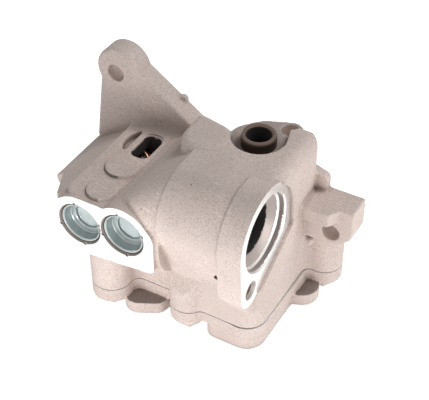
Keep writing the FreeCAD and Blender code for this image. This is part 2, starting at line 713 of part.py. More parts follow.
def pump_housing():
    solids = [joint_outline(SEAM_Z, LEDGE_Z), suction_block(), inlet_collar()]
    _, left_case = case_corners()
    solids.append(belt_along_z(left_case, SEAM_Z, RELIEF_Z - PLUG_R - 1.0))
    solids += valve_body()
    solids.append(chamber_ramp())
    solids += screw_bosses()
    block = solids[0].multiFuse(solids[1:])
    behind = Part.makeBox(
        -REAR_STEP_LEFT_X,
        2 * REAR_Y,
        HUMP_TOP_Z - REAR_STEP_Z + 1.0,
        V(REAR_STEP_LEFT_X, REAR_STEP_Y, REAR_STEP_Z),
    )
    beside = Part.makeBox(
        BESIDE_RIGHT_X - BESIDE_LEFT_X,
        REAR_STEP_Y - BESIDE_FRONT_Y,
        HUMP_TOP_Z - REAR_STEP_Z + 1.0,
        V(BESIDE_LEFT_X, BESIDE_FRONT_Y, REAR_STEP_Z),
    )
    casting = block.cut(behind.fuse(beside)).multiFuse([hump(), outlet_ear()] + mounting_arm() + mounting_lug())
    cuts = machined_faces() + oil_ways() + valve_bores() + gear_pocket() + shaft_bores() + joint_holes()
    return casting.cut(cuts[0].multiFuse(cuts[1:])).removeSplitter()


def cover_outline(low, high):
    """The joint outline, standing a little out of the housing along the right side."""
    slab = joint_outline(low, high)
    proud = belt_along_z(
        [
            (SIDE_X - CORNER_R, FRONT_Y + CORNER_R, CORNER_R + COVER_PROUD / 2),
            (SIDE_X - CASE_CORNER_R, REAR_Y - CASE_CORNER_R, CASE_CORNER_R + COVER_PROUD),
        ],
        low,
        high,
    )
    return slab.fuse(proud).removeSplitter()


def pump_cover():
    """Cover casting: flange with screw bosses, and the deeper body whose lobes show between the bosses."""
    flange_low = SEAM_Z - COVER_FLANGE
    boss_low = SEAM_Z - COVER_BOSS
    bottom = SEAM_Z - COVER_DEPTH
    right, left = case_corners()
    solids = [cover_outline(flange_low, SEAM_Z)]
    for x, y, radius, _ in SCREW_BOSSES:
        solids.append(cylinder(radius, COVER_BOSS, V(x, y, boss_low), AXIS_Z))
    deep = [(u if u > 0 else COVER_DEEP_X, v, r) for u, v, r in right]
    body = [belt_along_z(deep, bottom, flange_low + 1.0)]
    shallow = [(u, v + (2.0 if v < GEAR_Y else -2.0), r) for u, v, r in left]
    body.append(belt_along_z(shallow, bottom + COVER_SHALLOW, flange_low + 1.0))
    for lobe in (LOBE_FRONT, LOBE_RIGHT):
        body.append(belt_along_z(lobe, bottom + LOBE_SHALLOW, flange_low))
    casting = solids[0].multiFuse(solids[1:] + body)
    cuts = []
    for x, y, _, _ in SCREW_BOSSES:
        cuts.append(cylinder(SCREW_R + BOLT_CLEARANCE, COVER_BOSS + 1.0, V(x, y, boss_low - 0.5), AXIS_Z))
        cuts.append(cylinder(HEAD_R + 1.2, COVER_DEPTH, V(x, y, boss_low - COVER_DEPTH), AXIS_Z))
    for x, y in DOWELS:
        cuts.append(cylinder(DOWEL_R, DOWEL_LENGTH / 2, V(x, y, SEAM_Z - DOWEL_LENGTH / 2), AXIS_Z))
    bush_r = SHAFT_R + RUNNING + BUSH_WALL
    cuts.append(cylinder(bush_r, COVER_DEPTH + 1.0, V(DRIVE_X, GEAR_Y, bottom - 0.5), AXIS_Z))
    cuts.append(cylinder(SPINDLE_R, SPINDLE_DEPTH, V(idler_x(), GEAR_Y, SEAM_Z - SPINDLE_DEPTH), AXIS_Z))
    return casting.cut(cuts[0].multiFuse(cuts[1:])).removeSplitter()


def hex_prism(across_flats, low, high, x, y):
    corner = across_flats / math.sqrt(3.0)
    points = []
    for k in range(7):
        angle = math.radians(60.0 * k)
        points.append(V(x + corner * math.cos(angle), y + corner * math.sin(angle), low))
    return Part.Face(Part.makePolygon(points)).extrude(V(0, 0, high - low))


def cover_screws():
    """Flange-head screws that enter from below."""
    screws = []
    seat = SEAM_Z - COVER_BOSS
    for x, y, _, _ in SCREW_BOSSES:
        shank = cylinder(SCREW_R, COVER_BOSS + SCREW_DEPTH - 2.0, V(x, y, seat), AXIS_Z)
        flange = cylinder(HEAD_R, FLANGE_HEIGHT, V(x, y, seat - FLANGE_HEIGHT), AXIS_Z)
        head = hex_prism(HEAD_FLATS, seat - HEAD_HEIGHT, seat - FLANGE_HEIGHT, x, y)
        screws.append(fuse_all([shank, flange, head]))
    return Part.makeCompound(screws)


def cover_dowels():
    pins = []
    for x, y in DOWELS:
        low = SEAM_Z - DOWEL_LENGTH / 2 + 0.2
        pins.append(cylinder(DOWEL_R, DOWEL_LENGTH - 0.4, V(x, y, low), AXIS_Z))
    return Part.makeCompound(pins)


def outlet_spigot():
    """Dark steel sleeve with a shoulder on the ear face; its neck is pressed into the housing."""
    collar = cylinder(SPIGOT_R, SPIGOT_HEIGHT, V(0, 0, EAR_Z), AXIS_Z)
    rim = [e for e in collar.Edges if e.BoundBox.ZMin > EAR_Z + 1.0 and e.Curve.TypeId == "Part::GeomCircle"]
    collar = collar.makeChamfer(SPIGOT_CHAMFER, rim)
    neck = cylinder(SPIGOT_SEAT_R, SPIGOT_SEAT_DEPTH - 0.5, V(0, 0, EAR_Z), V(0, 0, -1))
    bore = cylinder(SPIGOT_BORE_R, SPIGOT_HEIGHT + SPIGOT_SEAT_DEPTH + 2.0, V(0, 0, EAR_Z - SPIGOT_SEAT_DEPTH - 1.0), AXIS_Z)
    return collar.fuse(neck).cut(bore).removeSplitter()


def cup_plug(x, z):
    """Pressed steel cup, open outward, with a stepped floor."""
    rim = VALVE_FACE_Y + PLUG_RECESS
    outer = [
        V(0, 0, 0), V(PLUG_R, 0, 0), V(PLUG_R, PLUG_LENGTH, 0), V(0, PLUG_LENGTH, 0),
    ]
    cup = Part.Face(Part.makePolygon(outer + [outer[0]]))
    inner_r = PLUG_R - PLUG_WALL
    floor = PLUG_LENGTH - PLUG_WALL
    hollow = [
        V(0, -1, 0), V(inner_r, -1, 0), V(inner_r - 0.4, floor - PLUG_STEP, 0),
        V(PLUG_STEP_R, floor - PLUG_STEP, 0), V(PLUG_STEP_R, floor, 0), V(0, floor, 0),
    ]
    section = cup.cut(Part.Face(Part.makePolygon(hollow + [hollow[0]])))
    solid = section.revolve(V(0, 0, 0), AXIS_Y, 360)
    solid.translate(V(x, rim, z))
    return solid


def control_spool():
    """Spool with a guide stem; the stem's rounded tip shows through the window."""
    front = V(CONTROL_X, spool_front(), CONTROL_Z)
    body = cylinder(SPOOL_R, SPOOL_LENGTH, front, AXIS_Y)
    for offset in (7.0, 17.0):
        groove_at = front + V(0, offset, 0)
        ring = cylinder(SPOOL_R + 1.0, 4.0, groove_at, AXIS_Y).cut(cylinder(SPOOL_R - 1.6, 4.0, groove_at, AXIS_Y))
        body = body.cut(ring)
    stem_at = front + V(0, SPOOL_LENGTH, 0)
    stem = cylinder(STEM_R, STEM_LENGTH - STEM_R, stem_at, AXIS_Y)
    tip = Part.makeSphere(STEM_R, stem_at + V(0, STEM_LENGTH - STEM_R, 0))
    return fuse_all([body, stem, tip])


def relief_piston():
    """Hollow piston that seats at the closed end; its spring enters from the plug side."""
    rear = V(RELIEF_X, RELIEF_SEAT_Y - RELIEF_PISTON_LENGTH, RELIEF_Z)
    body = cylinder(RELIEF_PISTON_R, RELIEF_PISTON_LENGTH - 0.3, rear, AXIS_Y)
    hollow = cylinder(RELIEF_PISTON_R - SPOOL_WALL, RELIEF_PISTON_LENGTH - 5.0, rear, AXIS_Y)
    return body.cut(hollow)


def coil_spring(x, z, near, far, radius, turns):
    """Round-wire compression spring between two planes across Y."""
    pitch = (far - near - 2 * SPRING_WIRE_R) / turns
    helix = Part.makeHelix(pitch, pitch * turns, radius)
    section = Part.Wire(Part.makeCircle(SPRING_WIRE_R, V(radius, 0, 0), AXIS_Y))
    solid = Part.Wire(helix).makePipeShell([section], True, True)
    solid.rotate(V(0, 0, 0), AXIS_X, -90)
    solid.translate(V(x, near + SPRING_WIRE_R, z))
    return solid


def control_spring():
    near = spool_front() + SPOOL_LENGTH + 0.05
    far = control_floor() - SEAT_THICKNESS - 0.05
    radius = SPOOL_R - SPRING_CLEARANCE - SPRING_WIRE_R
    return coil_spring(CONTROL_X, CONTROL_Z, near, far, radius, CONTROL_TURNS)


def control_spring_seat():
    seat = V(CONTROL_X, control_floor() - SEAT_THICKNESS, CONTROL_Z)
    return cylinder(SPOOL_R - 0.1, SEAT_THICKNESS, seat, AXIS_Y)


def relief_spring():
    near = VALVE_FACE_Y + PLUG_RECESS + PLUG_LENGTH + 0.05
    far = RELIEF_SEAT_Y - 5.0 - 0.05
    radius = RELIEF_PISTON_R - SPOOL_WALL - 0.3 - SPRING_WIRE_R
    return coil_spring(RELIEF_X, RELIEF_Z, near, far, radius, RELIEF_TURNS)


def involute_point(base_r, radius, start_angle, side):
    roll = math.sqrt(max((radius / base_r) ** 2 - 1.0, 0.0))
    angle = start_angle + side * (roll - math.atan(roll))
    return V(radius * math.cos(angle), radius * math.sin(angle), 0)


def tooth_face():
    """One tooth pointing along +X, from inside the root circle to the tip."""
    pitch_r = MODULE * TEETH / 2
    base_r = pitch_r * math.cos(math.radians(PRESSURE_ANGLE))
    root_r = pitch_r - 1.25 * MODULE
    half = (math.pi * MODULE / 2 - BACKLASH) / 2 / pitch_r
    roll = math.tan(math.radians(PRESSURE_ANGLE)) - math.radians(PRESSURE_ANGLE)
    foot_angle = half + roll
    radii = [base_r + (tip_radius() - base_r) * k / 4 for k in range(5)]
    upper = [involute_point(base_r, r, foot_angle, -1) for r in radii]
    lower = [V(p.x, -p.y, 0) for p in upper]
    inner = root_r - 1.0
    upper_root = V(inner * math.cos(foot_angle), inner * math.sin(foot_angle), 0)
    lower_root = V(upper_root.x, -upper_root.y, 0)
    flank_up = Part.BSplineCurve()
    flank_up.interpolate(upper)
    flank_low = Part.BSplineCurve()
    flank_low.interpolate(lower)
    edges = [
        Part.makeLine(upper_root, upper[0]),
        flank_up.toShape(),
        Part.Arc(upper[-1], V(tip_radius(), 0, 0), lower[-1]).toShape(),
        flank_low.toShape(),
        Part.makeLine(lower[0], lower_root),
        Part.makeLine(lower_root, upper_root),
    ]
    return Part.Face(Part.Wire(Part.__sortEdges__(edges)))


def gear_blank(x, first_angle, bore_r):
    """Spur gear on an upright axis, with a tooth at the given angle."""
    low = SEAM_Z + END_PLAY
    root_r = MODULE * TEETH / 2 - 1.25 * MODULE
    tooth = tooth_face().extrude(V(0, 0, GEAR_WIDTH))
    parts = [cylinder(root_r, GEAR_WIDTH, V(0, 0, 0), AXIS_Z)]
    for k in range(TEETH):
        copy = tooth.copy()
        copy.rotate(V(0, 0, 0), AXIS_Z, first_angle + 360.0 * k / TEETH)
        parts.append(copy)
    gear = fuse_all(parts).cut(cylinder(bore_r, GEAR_WIDTH + 2.0, V(0, 0, -1.0), AXIS_Z))
    gear.translate(V(x, GEAR_Y, low))
    return gear


def key_shape(grow):
    low = SEAM_Z + END_PLAY + (GEAR_WIDTH - KEY_LENGTH) / 2
    width = KEY_WIDTH + 2 * grow
    corner = V(DRIVE_X + SHAFT_R - KEY_HEIGHT / 2 - grow, GEAR_Y - width / 2, low - grow)
    return Part.makeBox(KEY_HEIGHT + 2 * grow, width, KEY_LENGTH + 2 * grow, corner)


def drive_gear():
    gear = gear_blank(DRIVE_X, 180.0, SHAFT_R)
    way = key_shape(0.0)
    reach = Part.makeBox(KEY_HEIGHT, KEY_WIDTH, GEAR_WIDTH, V(way.BoundBox.XMin, way.BoundBox.YMin, SEAM_Z + END_PLAY))
    return gear.cut(reach)


def driven_gear():
    bore_r = SPINDLE_R + RUNNING + IDLER_BUSH_WALL
    return gear_blank(idler_x(), 180.0 / TEETH, bore_r)


def driven_gear_bush():
    low = V(idler_x(), GEAR_Y, SEAM_Z + END_PLAY)
    outer = cylinder(SPINDLE_R + RUNNING + IDLER_BUSH_WALL, GEAR_WIDTH, low, AXIS_Z)
    return outer.cut(cylinder(SPINDLE_R + RUNNING, GEAR_WIDTH, low, AXIS_Z))


def idler_spindle():
    low = V(idler_x(), GEAR_Y, SEAM_Z - SPINDLE_DEPTH)
    return cylinder(SPINDLE_R, pocket_top() + SPINDLE_TOP_DEPTH - low.z, low, AXIS_Z)


def drive_shaft():
    """Shaft with a hexagon socket in its lower end and a keyway for the gear."""
    bottom = SEAM_Z - COVER_DEPTH + 0.5
    top = pocket_top() + UPPER_BUSH_LENGTH
    shaft = cylinder(SHAFT_R, top - bottom, V(DRIVE_X, GEAR_Y, bottom), AXIS_Z)
    ends = [e for e in shaft.Edges if e.Curve.TypeId == "Part::GeomCircle"]
    shaft = shaft.makeChamfer(0.6, ends)
    socket = hex_prism(HEX_FLATS, bottom - 1.0, bottom + HEX_DEPTH, DRIVE_X, GEAR_Y)
    return shaft.cut(socket).cut(key_shape(0.0))


def shaft_bush(low, length):
    outer = cylinder(SHAFT_R + RUNNING + BUSH_WALL, length, V(DRIVE_X, GEAR_Y, low), AXIS_Z)
    return outer.cut(cylinder(SHAFT_R + RUNNING, length, V(DRIVE_X, GEAR_Y, low), AXIS_Z))


PARTS = {
    "pump_housing": pump_housing,
    "pump_cover": pump_cover,
    "cover_screws": cover_screws,
    "cover_dowels": cover_dowels,
    "outlet_spigot": outlet_spigot,
    "control_valve_plug": lambda: cup_plug(CONTROL_X, CONTROL_Z),
    "relief_valve_plug": lambda: cup_plug(RELIEF_X, RELIEF_Z),
    "control_spool": control_spool,
    "control_spring": control_spring,
    "control_spring_seat": control_spring_seat,
    "relief_piston": relief_piston,
    "relief_spring": relief_spring,
    "drive_shaft": drive_shaft,
    "drive_gear": drive_gear,
    "drive_gear_key": lambda: key_shape(0.0),
    "driven_gear": driven_gear,
    "driven_gear_bush": driven_gear_bush,
    "idler_spindle": idler_spindle,
    "upper_shaft_bush": lambda: shaft_bush(pocket_top(), UPPER_BUSH_LENGTH),
    "lower_shaft_bush": lambda: shaft_bush(SEAM_Z - COVER_DEPTH + 0.5, COVER_DEPTH - 0.5),
}

os.makedirs("parts", exist_ok=True)
for name, make in PARTS.items():
    shape = make()
    shape.exportStep(os.path.join("parts", name + ".step"))
    box = shape.BoundBox
    print(name, len(shape.Solids), "solid", shape.isValid(), "volume", round(shape.Volume, 1),
          "z", round(box.ZMin, 1), round(box.ZMax, 1))
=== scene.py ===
"""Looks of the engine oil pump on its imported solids: cast skins, milled faces, plugs, springs and studio."""
import math

import bpy
import numpy as np
from mathutils import Matrix, Vector


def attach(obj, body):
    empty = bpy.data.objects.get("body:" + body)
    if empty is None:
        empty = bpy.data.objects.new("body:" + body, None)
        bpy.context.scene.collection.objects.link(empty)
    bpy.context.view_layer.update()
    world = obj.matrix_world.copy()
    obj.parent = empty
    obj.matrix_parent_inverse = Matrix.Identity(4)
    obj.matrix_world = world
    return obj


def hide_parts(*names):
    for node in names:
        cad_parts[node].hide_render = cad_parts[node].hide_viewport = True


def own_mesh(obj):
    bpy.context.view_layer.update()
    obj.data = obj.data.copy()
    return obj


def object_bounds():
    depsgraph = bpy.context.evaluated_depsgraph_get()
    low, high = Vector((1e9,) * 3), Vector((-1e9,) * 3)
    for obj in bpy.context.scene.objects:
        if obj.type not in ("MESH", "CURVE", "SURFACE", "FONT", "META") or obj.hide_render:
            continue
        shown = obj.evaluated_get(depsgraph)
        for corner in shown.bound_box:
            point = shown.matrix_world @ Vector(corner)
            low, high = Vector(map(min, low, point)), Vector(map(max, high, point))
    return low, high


bl_info = {
    "name": "Engine oil pump",
    "version": (1, 0, 0),
    "blender": (4, 5, 0),
    "location": "View3D > Sidebar > Oil pump",
    "description": "Cast housing and cover, milled faces, plated plugs, spigot, springs and a plain studio",
    "category": "Object",
}

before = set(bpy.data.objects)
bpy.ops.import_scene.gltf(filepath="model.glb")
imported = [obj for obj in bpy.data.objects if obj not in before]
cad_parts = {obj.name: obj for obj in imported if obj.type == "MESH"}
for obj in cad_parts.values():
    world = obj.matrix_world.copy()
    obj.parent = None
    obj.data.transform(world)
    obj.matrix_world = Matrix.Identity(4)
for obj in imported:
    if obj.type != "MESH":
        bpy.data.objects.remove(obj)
CAD_BOX = [list(corner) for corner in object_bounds()]
MM = 0.001

# Places of the machined features, in millimetres, as the solids have them
SEAM_Z = -73.0
SEAM_GAP = 0.22          # edges broken on both sides of the joint
INLET_X = 23.0
INLET_CENTRE = (-35.0, -18.0)
INLET_RADIUS = 18.8
INLET_CHAMFER = 0.8
STEP_X = 19.0
STEP_RADIUS = 17.6
THROAT_X = 16.2
THROAT_RADIUS = 12.9
THROAT_END_X = -17.0
MILLED_RING = (-35.0, -18.0, 23.3)
MILLED_PAD = (-48.8, -42.3, 9.3)
MILLED_CORNER = (-12.5, -29.5, 2.0)
INLET_SCREW = (-48.8, -42.3)
CORE_RADIUS = 3.45
THREAD_RADIUS = 4.0
THREAD_PITCH = 1.25
VALVE_FACE_Y = -58.5
VALVE_RIGHT_X = -15.0
CONTROL_PLUG = (-63.3, -32.8)
RELIEF_PLUG = (-39.3, -29.2)
PLUG_RADIUS = 11.0
PLUG_LENGTH = 8.0
PLUG_RECESS = 1.0
ARM_HOLE = (-82.0, 9.0, 4.5)
ARM_FACES = (4.5, 16.0)
LUG_HOLE = (38.6, -40.2, 4.5)
LUG_FACES = (2.0, 16.5)
EAR_HOLE = (8.2, 16.6, 4.5)
SPOT_FACE = [(0.0, 0.0, 13.2), (-1.5, 24.0, 8.0), (-14.0, 16.0, 6.0)]
WINDOW = [(-57.6, -15.0, 3.5), (-57.6, -4.3, 3.5), (-55.0, -4.3, 3.5), (-55.0, -15.0, 3.5)]
WINDOW_X = -56.3         # its middle
DECK_Z = -17.0
DECK_BOSSES = [(-56.4, -48.0, 7.4), (-57.6, -29.0, 8.2)]
DECK_BOSS_HEIGHT = 1.4

# Fills and a slope that only the visual casting has: outlines of (y, z, radius) circles and x ranges
FRONT_WALL = [(-35.0, -18.0, 22.4), (-45.36, -52.96, 1.0), (-30.0, -50.0, 2.0)]
FRONT_FOOT = [(-50.06, -39.66, 1.0), (-45.36, -52.96, 1.0), (-40.0, -41.0, 1.0), (-40.0, -52.9, 1.0)]
PAD_FOOT = [(-48.8, -42.3, 8.5), (-45.1, -61.0, 1.0), (-40.0, -50.0, 2.0)]
BOSS_SLOPE = [(-46.6, -53.9, 0.1), (-56.0, -53.9, 0.1), (-56.0, -68.0, 0.1)]
FRONT_WALL_X = (-21.4, 11.5)
FRONT_FOOT_X = (-24.6, -19.0)
PAD_FOOT_X = (11.0, 22.4)
BOSS_SLOPE_X = (-25.0, -3.0)
LUG_FOOT = (26.2, 6.2, -53.8)
LUG_FOOT_RADIUS = 2.6

# Finishing of the skins, the turned pieces and the springs
FAR = 200.0              # past the part on every side
SHELL_ANGLE = 34.0
RAISE = 1.4              # taken off again by the milling, so that its edges are crisp
CORNER_SHADE_REACH = 5.0             # reach of the painted shade in corners
DENT_CIRCLE = 11.7
DENT_RADIUS = 0.85
DENT_ANGLES = (20.0, 100.0, 200.0, 280.0)
THREAD_TURNS = 10
THREAD_DEPTH = 17.0
SPIGOT_HEIGHT = 6.0
SPRING_RADIUS = 6.9
SPRING_WIRE = 0.8
SPRING_STEPS = 28        # lengths of wire in a turn
# The coil's (turns, place along y): two close ends and a wide last pitch
SPRING_PLACES = [(0.0, -20.6), (1.0, -19.8), (3.0, -7.2), (4.0, 7.6), (5.0, 8.6)]


def deselect():
    if bpy.context.object and bpy.context.object.mode != "OBJECT":
        bpy.ops.object.mode_set(mode="OBJECT")
    bpy.ops.object.select_all(action="DESELECT")


def activate(piece):
    deselect()
    piece.select_set(True)
    bpy.context.view_layer.objects.active = piece


def settle(piece, name):
    """Name a piece and put its place into its mesh."""
    activate(piece)
    bpy.ops.object.transform_apply(location=True, rotation=True, scale=True)
    piece.name = name
    piece.data.name = name
    return piece


def turned_along(axis):
    return {"X": (0.0, math.pi / 2, 0.0), "Y": (-math.pi / 2, 0.0, 0.0), "Z": (0.0, 0.0, 0.0)}[axis]


def add_turned(name, stations, base, axis, sides=96, ring=False):
    """Turned solid through (radius, place along the axis) stations; a ring has an open middle."""
    deselect()
    radius, along = stations[0]
    fill = "NOTHING" if ring else "NGON"
    bpy.ops.mesh.primitive_circle_add(vertices=sides, radius=radius * MM, fill_type=fill)
    piece = bpy.context.object
    bpy.ops.object.mode_set(mode="EDIT")
    bpy.ops.mesh.select_mode(type="VERT")
    bpy.ops.mesh.select_all(action="SELECT")
    bpy.ops.transform.translate(value=(0.0, 0.0, along * MM))
    for next_radius, next_along in stations[1:]:
        step = (0.0, 0.0, (next_along - along) * MM)
        bpy.ops.mesh.extrude_region_move(TRANSFORM_OT_translate={"value": step})
        factor = next_radius / radius
        if abs(factor - 1.0) > 1e-6:
            bpy.ops.transform.resize(value=(factor, factor, 1.0), center_override=(0.0, 0.0, next_along * MM))
        radius, along = next_radius, next_along
    bpy.ops.mesh.select_all(action="SELECT")
    bpy.ops.mesh.remove_doubles(threshold=0.0000001)
    bpy.ops.mesh.normals_make_consistent(inside=False)
    bpy.ops.object.mode_set(mode="OBJECT")
    piece.rotation_euler = turned_along(axis)
    piece.location = Vector(base) * MM
    return settle(piece, name)


def add_slab(name, low, high):
    """Square-edged block between two corners."""
    deselect()
    middle = (Vector(low) + Vector(high)) / 2
    bpy.ops.mesh.primitive_cube_add(size=1.0, location=middle * MM)
    slab = bpy.context.object
    slab.scale = (Vector(high) - Vector(low)) * MM
    return settle(slab, name)


def add_ball(name, radius, place):
    deselect()
    bpy.ops.mesh.primitive_ico_sphere_add(subdivisions=3, radius=radius * MM, location=Vector(place) * MM)
    return settle(bpy.context.object, name)


def join_pieces(name, pieces):
    deselect()
    for piece in pieces:
        piece.select_set(True)
    bpy.context.view_layer.objects.active = pieces[0]
    bpy.ops.object.join()
    return settle(bpy.context.object, name)


def hull_prism(name, circles, axis, low, high):
    """Prism whose outline is a belt round circles (u, v, radius), from low to high along the axis."""
    rods = []
    for u, v, radius in circles:
        base = {"X": (0.0, u, v), "Y": (u, 0.0, v), "Z": (u, v, 0.0)}[axis]
        rods.append(add_turned(name, [(radius, low), (radius, high)], base, axis))
    prism = join_pieces(name, rods)
    bpy.ops.object.mode_set(mode="EDIT")
    bpy.ops.mesh.select_all(action="SELECT")
    bpy.ops.mesh.convex_hull()
    bpy.ops.mesh.normals_make_consistent(inside=False)
    bpy.ops.object.mode_set(mode="OBJECT")
    return prism


def copy_of_node(node, name):
    """Copy a solid's mesh and merge its loose triangles into one skin."""
    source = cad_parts[node]
    piece = bpy.data.objects.new(name, source.data.copy())
    bpy.context.scene.collection.objects.link(piece)
    piece.data.name = name
    activate(piece)
    bpy.ops.object.mode_set(mode="EDIT")
    bpy.ops.mesh.select_all(action="SELECT")
    bpy.ops.mesh.remove_doubles(threshold=0.000002)
    bpy.ops.mesh.select_all(action="DESELECT")
    bpy.ops.object.mode_set(mode="OBJECT")
    return piece


def face_arrays(piece):
    mesh = piece.data
    count = len(mesh.polygons)
    centres = np.empty(count * 3)
    normals = np.empty(count * 3)
    mesh.polygons.foreach_get("center", centres)
    mesh.polygons.foreach_get("normal", normals)
    return centres.reshape(-1, 3) / MM, normals.reshape(-1, 3)


def select_faces(piece, chosen):
    activate(piece)
    mesh = piece.data
    mesh.vertices.foreach_set("select", np.zeros(len(mesh.vertices), dtype=bool))
    mesh.edges.foreach_set("select", np.zeros(len(mesh.edges), dtype=bool))
    mesh.polygons.foreach_set("select", np.asarray(chosen, dtype=bool))
    mesh.update()


def faces_on_plane(piece, axis, value, sign):
    """Mask of the flat faces that lie on a plane across an axis and look along it."""
    centres, normals = face_arrays(piece)
    index = "XYZ".index(axis)
    return (np.abs(centres[:, index] - value) < 0.02) & (normals[:, index] * sign > 0.999)


def raise_faces(piece, chosen, offset):
    """Extrude the chosen faces by an offset, so that milling can take it off again."""
    select_faces(piece, chosen)
    bpy.ops.object.mode_set(mode="EDIT")
    bpy.ops.mesh.select_mode(type="FACE")
    bpy.ops.mesh.extrude_region_move(TRANSFORM_OT_translate={"value": tuple(v * MM for v in offset)})
    bpy.ops.object.mode_set(mode="OBJECT")


def apply_modifiers(piece):
    activate(piece)
    for modifier in list(piece.modifiers):
        bpy.ops.object.modifier_apply(modifier=modifier.name)


def combine(piece, others, operation="DIFFERENCE"):
    """Cut the other solids away from a piece, or join them to it, and remove them."""
    for other in others:
        modifier = piece.modifiers.new("combine", "BOOLEAN")
        modifier.operation = operation
        modifier.object = other
        modifier.solver = "MANIFOLD"
        apply_modifiers(piece)
        bpy.data.objects.remove(other, do_unlink=True)
    return piece


def soften_casting(piece, voxel, rounds):
    """Rebuild the skin in even quads and relax it, which gives the cast fillets and rounded edges."""
    remesh = piece.modifiers.new("even skin", "REMESH")
    remesh.mode = "VOXEL"
    remesh.voxel_size = voxel * MM
    remesh.adaptivity = 0.0
    relax = piece.modifiers.new("relax", "SMOOTH")
    relax.factor = 0.5
    relax.iterations = rounds
    apply_modifiers(piece)


def thin_out(piece, share):
    """Keep a share of the triangles, fewest where the skin is flat."""
    thin = piece.modifiers.new("thin out", "DECIMATE")
    thin.ratio = share
    apply_modifiers(piece)


def shade(piece, degrees):
    activate(piece)
    bpy.ops.object.shade_smooth_by_angle(angle=math.radians(degrees), keep_sharp_edges=False)


def new_material(name):
    material = bpy.data.materials.new(name)
    material.use_nodes = True
    nodes = material.node_tree.nodes
    nodes.clear()
    output = nodes.new("ShaderNodeOutputMaterial")
    shader = nodes.new("ShaderNodeBsdfPrincipled")
    material.node_tree.links.new(shader.outputs["BSDF"], output.inputs["Surface"])
    return material, shader


def add_node(material, kind, **values):
    node = material.node_tree.nodes.new(kind)
    for key, value in values.items():
        if hasattr(node, key):
            setattr(node, key, value)
        else:
            node.inputs[key.replace("_", " ")].default_value = value
    return node


def link(material, start, end):
    material.node_tree.links.new(start, end)


def noise(material, scale, detail=4.0, roughness=0.6, stretch=None):
    place = add_node(material, "ShaderNodeTexCoord")
    source = place.outputs["Object"]
    if stretch:
        mapping = add_node(material, "ShaderNodeMapping")
        mapping.inputs["Scale"].default_value = stretch
        link(material, source, mapping.inputs["Vector"])
        source = mapping.outputs["Vector"]
    texture = add_node(material, "ShaderNodeTexNoise", Scale=scale, Detail=detail, Roughness=roughness)
    link(material, source, texture.inputs["Vector"])
    return texture.outputs["Fac"]


def specks(material, scale, size):
    """Sparse round pits: 0 in a pit, 1 elsewhere."""
    place = add_node(material, "ShaderNodeTexCoord")
    cells = add_node(material, "ShaderNodeTexVoronoi", Scale=scale)
    link(material, place.outputs["Object"], cells.inputs["Vector"])
    edge = add_node(material, "ShaderNodeMapRange", From_Min=size * 0.6, From_Max=size)
    link(material, cells.outputs["Distance"], edge.inputs["Value"])
    rare = add_node(material, "ShaderNodeSeparateColor")
    link(material, cells.outputs["Color"], rare.inputs["Color"])
    gate = add_node(material, "ShaderNodeMath", operation="LESS_THAN")
    gate.inputs[1].default_value = 0.72
    link(material, rare.outputs["Red"], gate.inputs[0])
    both = add_node(material, "ShaderNodeMath", operation="MAXIMUM")
    link(material, edge.outputs["Result"], both.inputs[0])
    link(material, gate.outputs["Value"], both.inputs[1])
    return both.outputs["Value"]


def ramp(material, source, stops):
    node = add_node(material, "ShaderNodeValToRGB")
    node.color_ramp.elements[0].position = stops[0][0]
    node.color_ramp.elements[0].color = (*stops[0][1], 1.0)
    node.color_ramp.elements[1].position = stops[-1][0]
    node.color_ramp.elements[1].color = (*stops[-1][1], 1.0)
    for position, colour in stops[1:-1]:
        element = node.color_ramp.elements.new(position)
        element.color = (*colour, 1.0)
    link(material, source, node.inputs["Fac"])
    return node.outputs["Color"]


def multiply(material, first, second, amount):
    mix = add_node(material, "ShaderNodeMix", data_type="RGBA", blend_type="MULTIPLY")
    mix.inputs[0].default_value = amount
    link(material, first, mix.inputs[6])
    link(material, second, mix.inputs[7])
    return mix.outputs[2]


def bumped(material, shader, layers):
    """Chain bump layers of (height, depth in mm, strength) into the shader's normal."""
    previous = None
    for height, depth, strength in layers:
        bump = add_node(material, "ShaderNodeBump")
        bump.inputs["Distance"].default_value = depth * MM
        bump.inputs["Strength"].default_value = strength
        link(material, height, bump.inputs["Height"])
        if previous:
            link(material, previous, bump.inputs["Normal"])
        previous = bump.outputs["Normal"]
    link(material, previous, shader.inputs["Normal"])


def painted_corner_shade(material, colour, reach):
    """Painted shade: darken a colour in corners that other faces crowd within a reach in mm."""
    corners = add_node(material, "ShaderNodeAmbientOcclusion", samples=8, Distance=reach * MM)
    shadow = ramp(material, corners.outputs["AO"], [
        (0.2, (0.36, 0.32, 0.30)), (0.75, (0.92, 0.91, 0.90)), (0.95, (1.0, 1.0, 1.0))])
    return multiply(material, colour, shadow, 1.0)


def shift(colour, factor):
    return tuple(min(1.0, c * factor) for c in colour)


def scuffs(material, turn):
    """Short thin strokes in loose patches: 1 on a stroke, 0 elsewhere."""
    place = add_node(material, "ShaderNodeTexCoord")
    mapping = add_node(material, "ShaderNodeMapping")
    mapping.inputs["Rotation"].default_value = turn
    mapping.inputs["Scale"].default_value = (1.0, 9.0, 9.0)
    link(material, place.outputs["Object"], mapping.inputs["Vector"])
    strokes = add_node(material, "ShaderNodeTexNoise", Scale=150.0, Detail=2.0, Roughness=0.5)
    link(material, mapping.outputs["Vector"], strokes.inputs["Vector"])
    thin = add_node(material, "ShaderNodeMapRange", From_Min=0.64, From_Max=0.70)
    link(material, strokes.outputs["Fac"], thin.inputs["Value"])
    patch = add_node(material, "ShaderNodeMapRange", From_Min=0.51, From_Max=0.60)
    link(material, noise(material, 42.0, 2.0, 0.5), patch.inputs["Value"])
    both = add_node(material, "ShaderNodeMath", operation="MULTIPLY")
    link(material, thin.outputs["Result"], both.inputs[0])
    link(material, patch.outputs["Result"], both.inputs[1])
    return both.outputs["Value"]


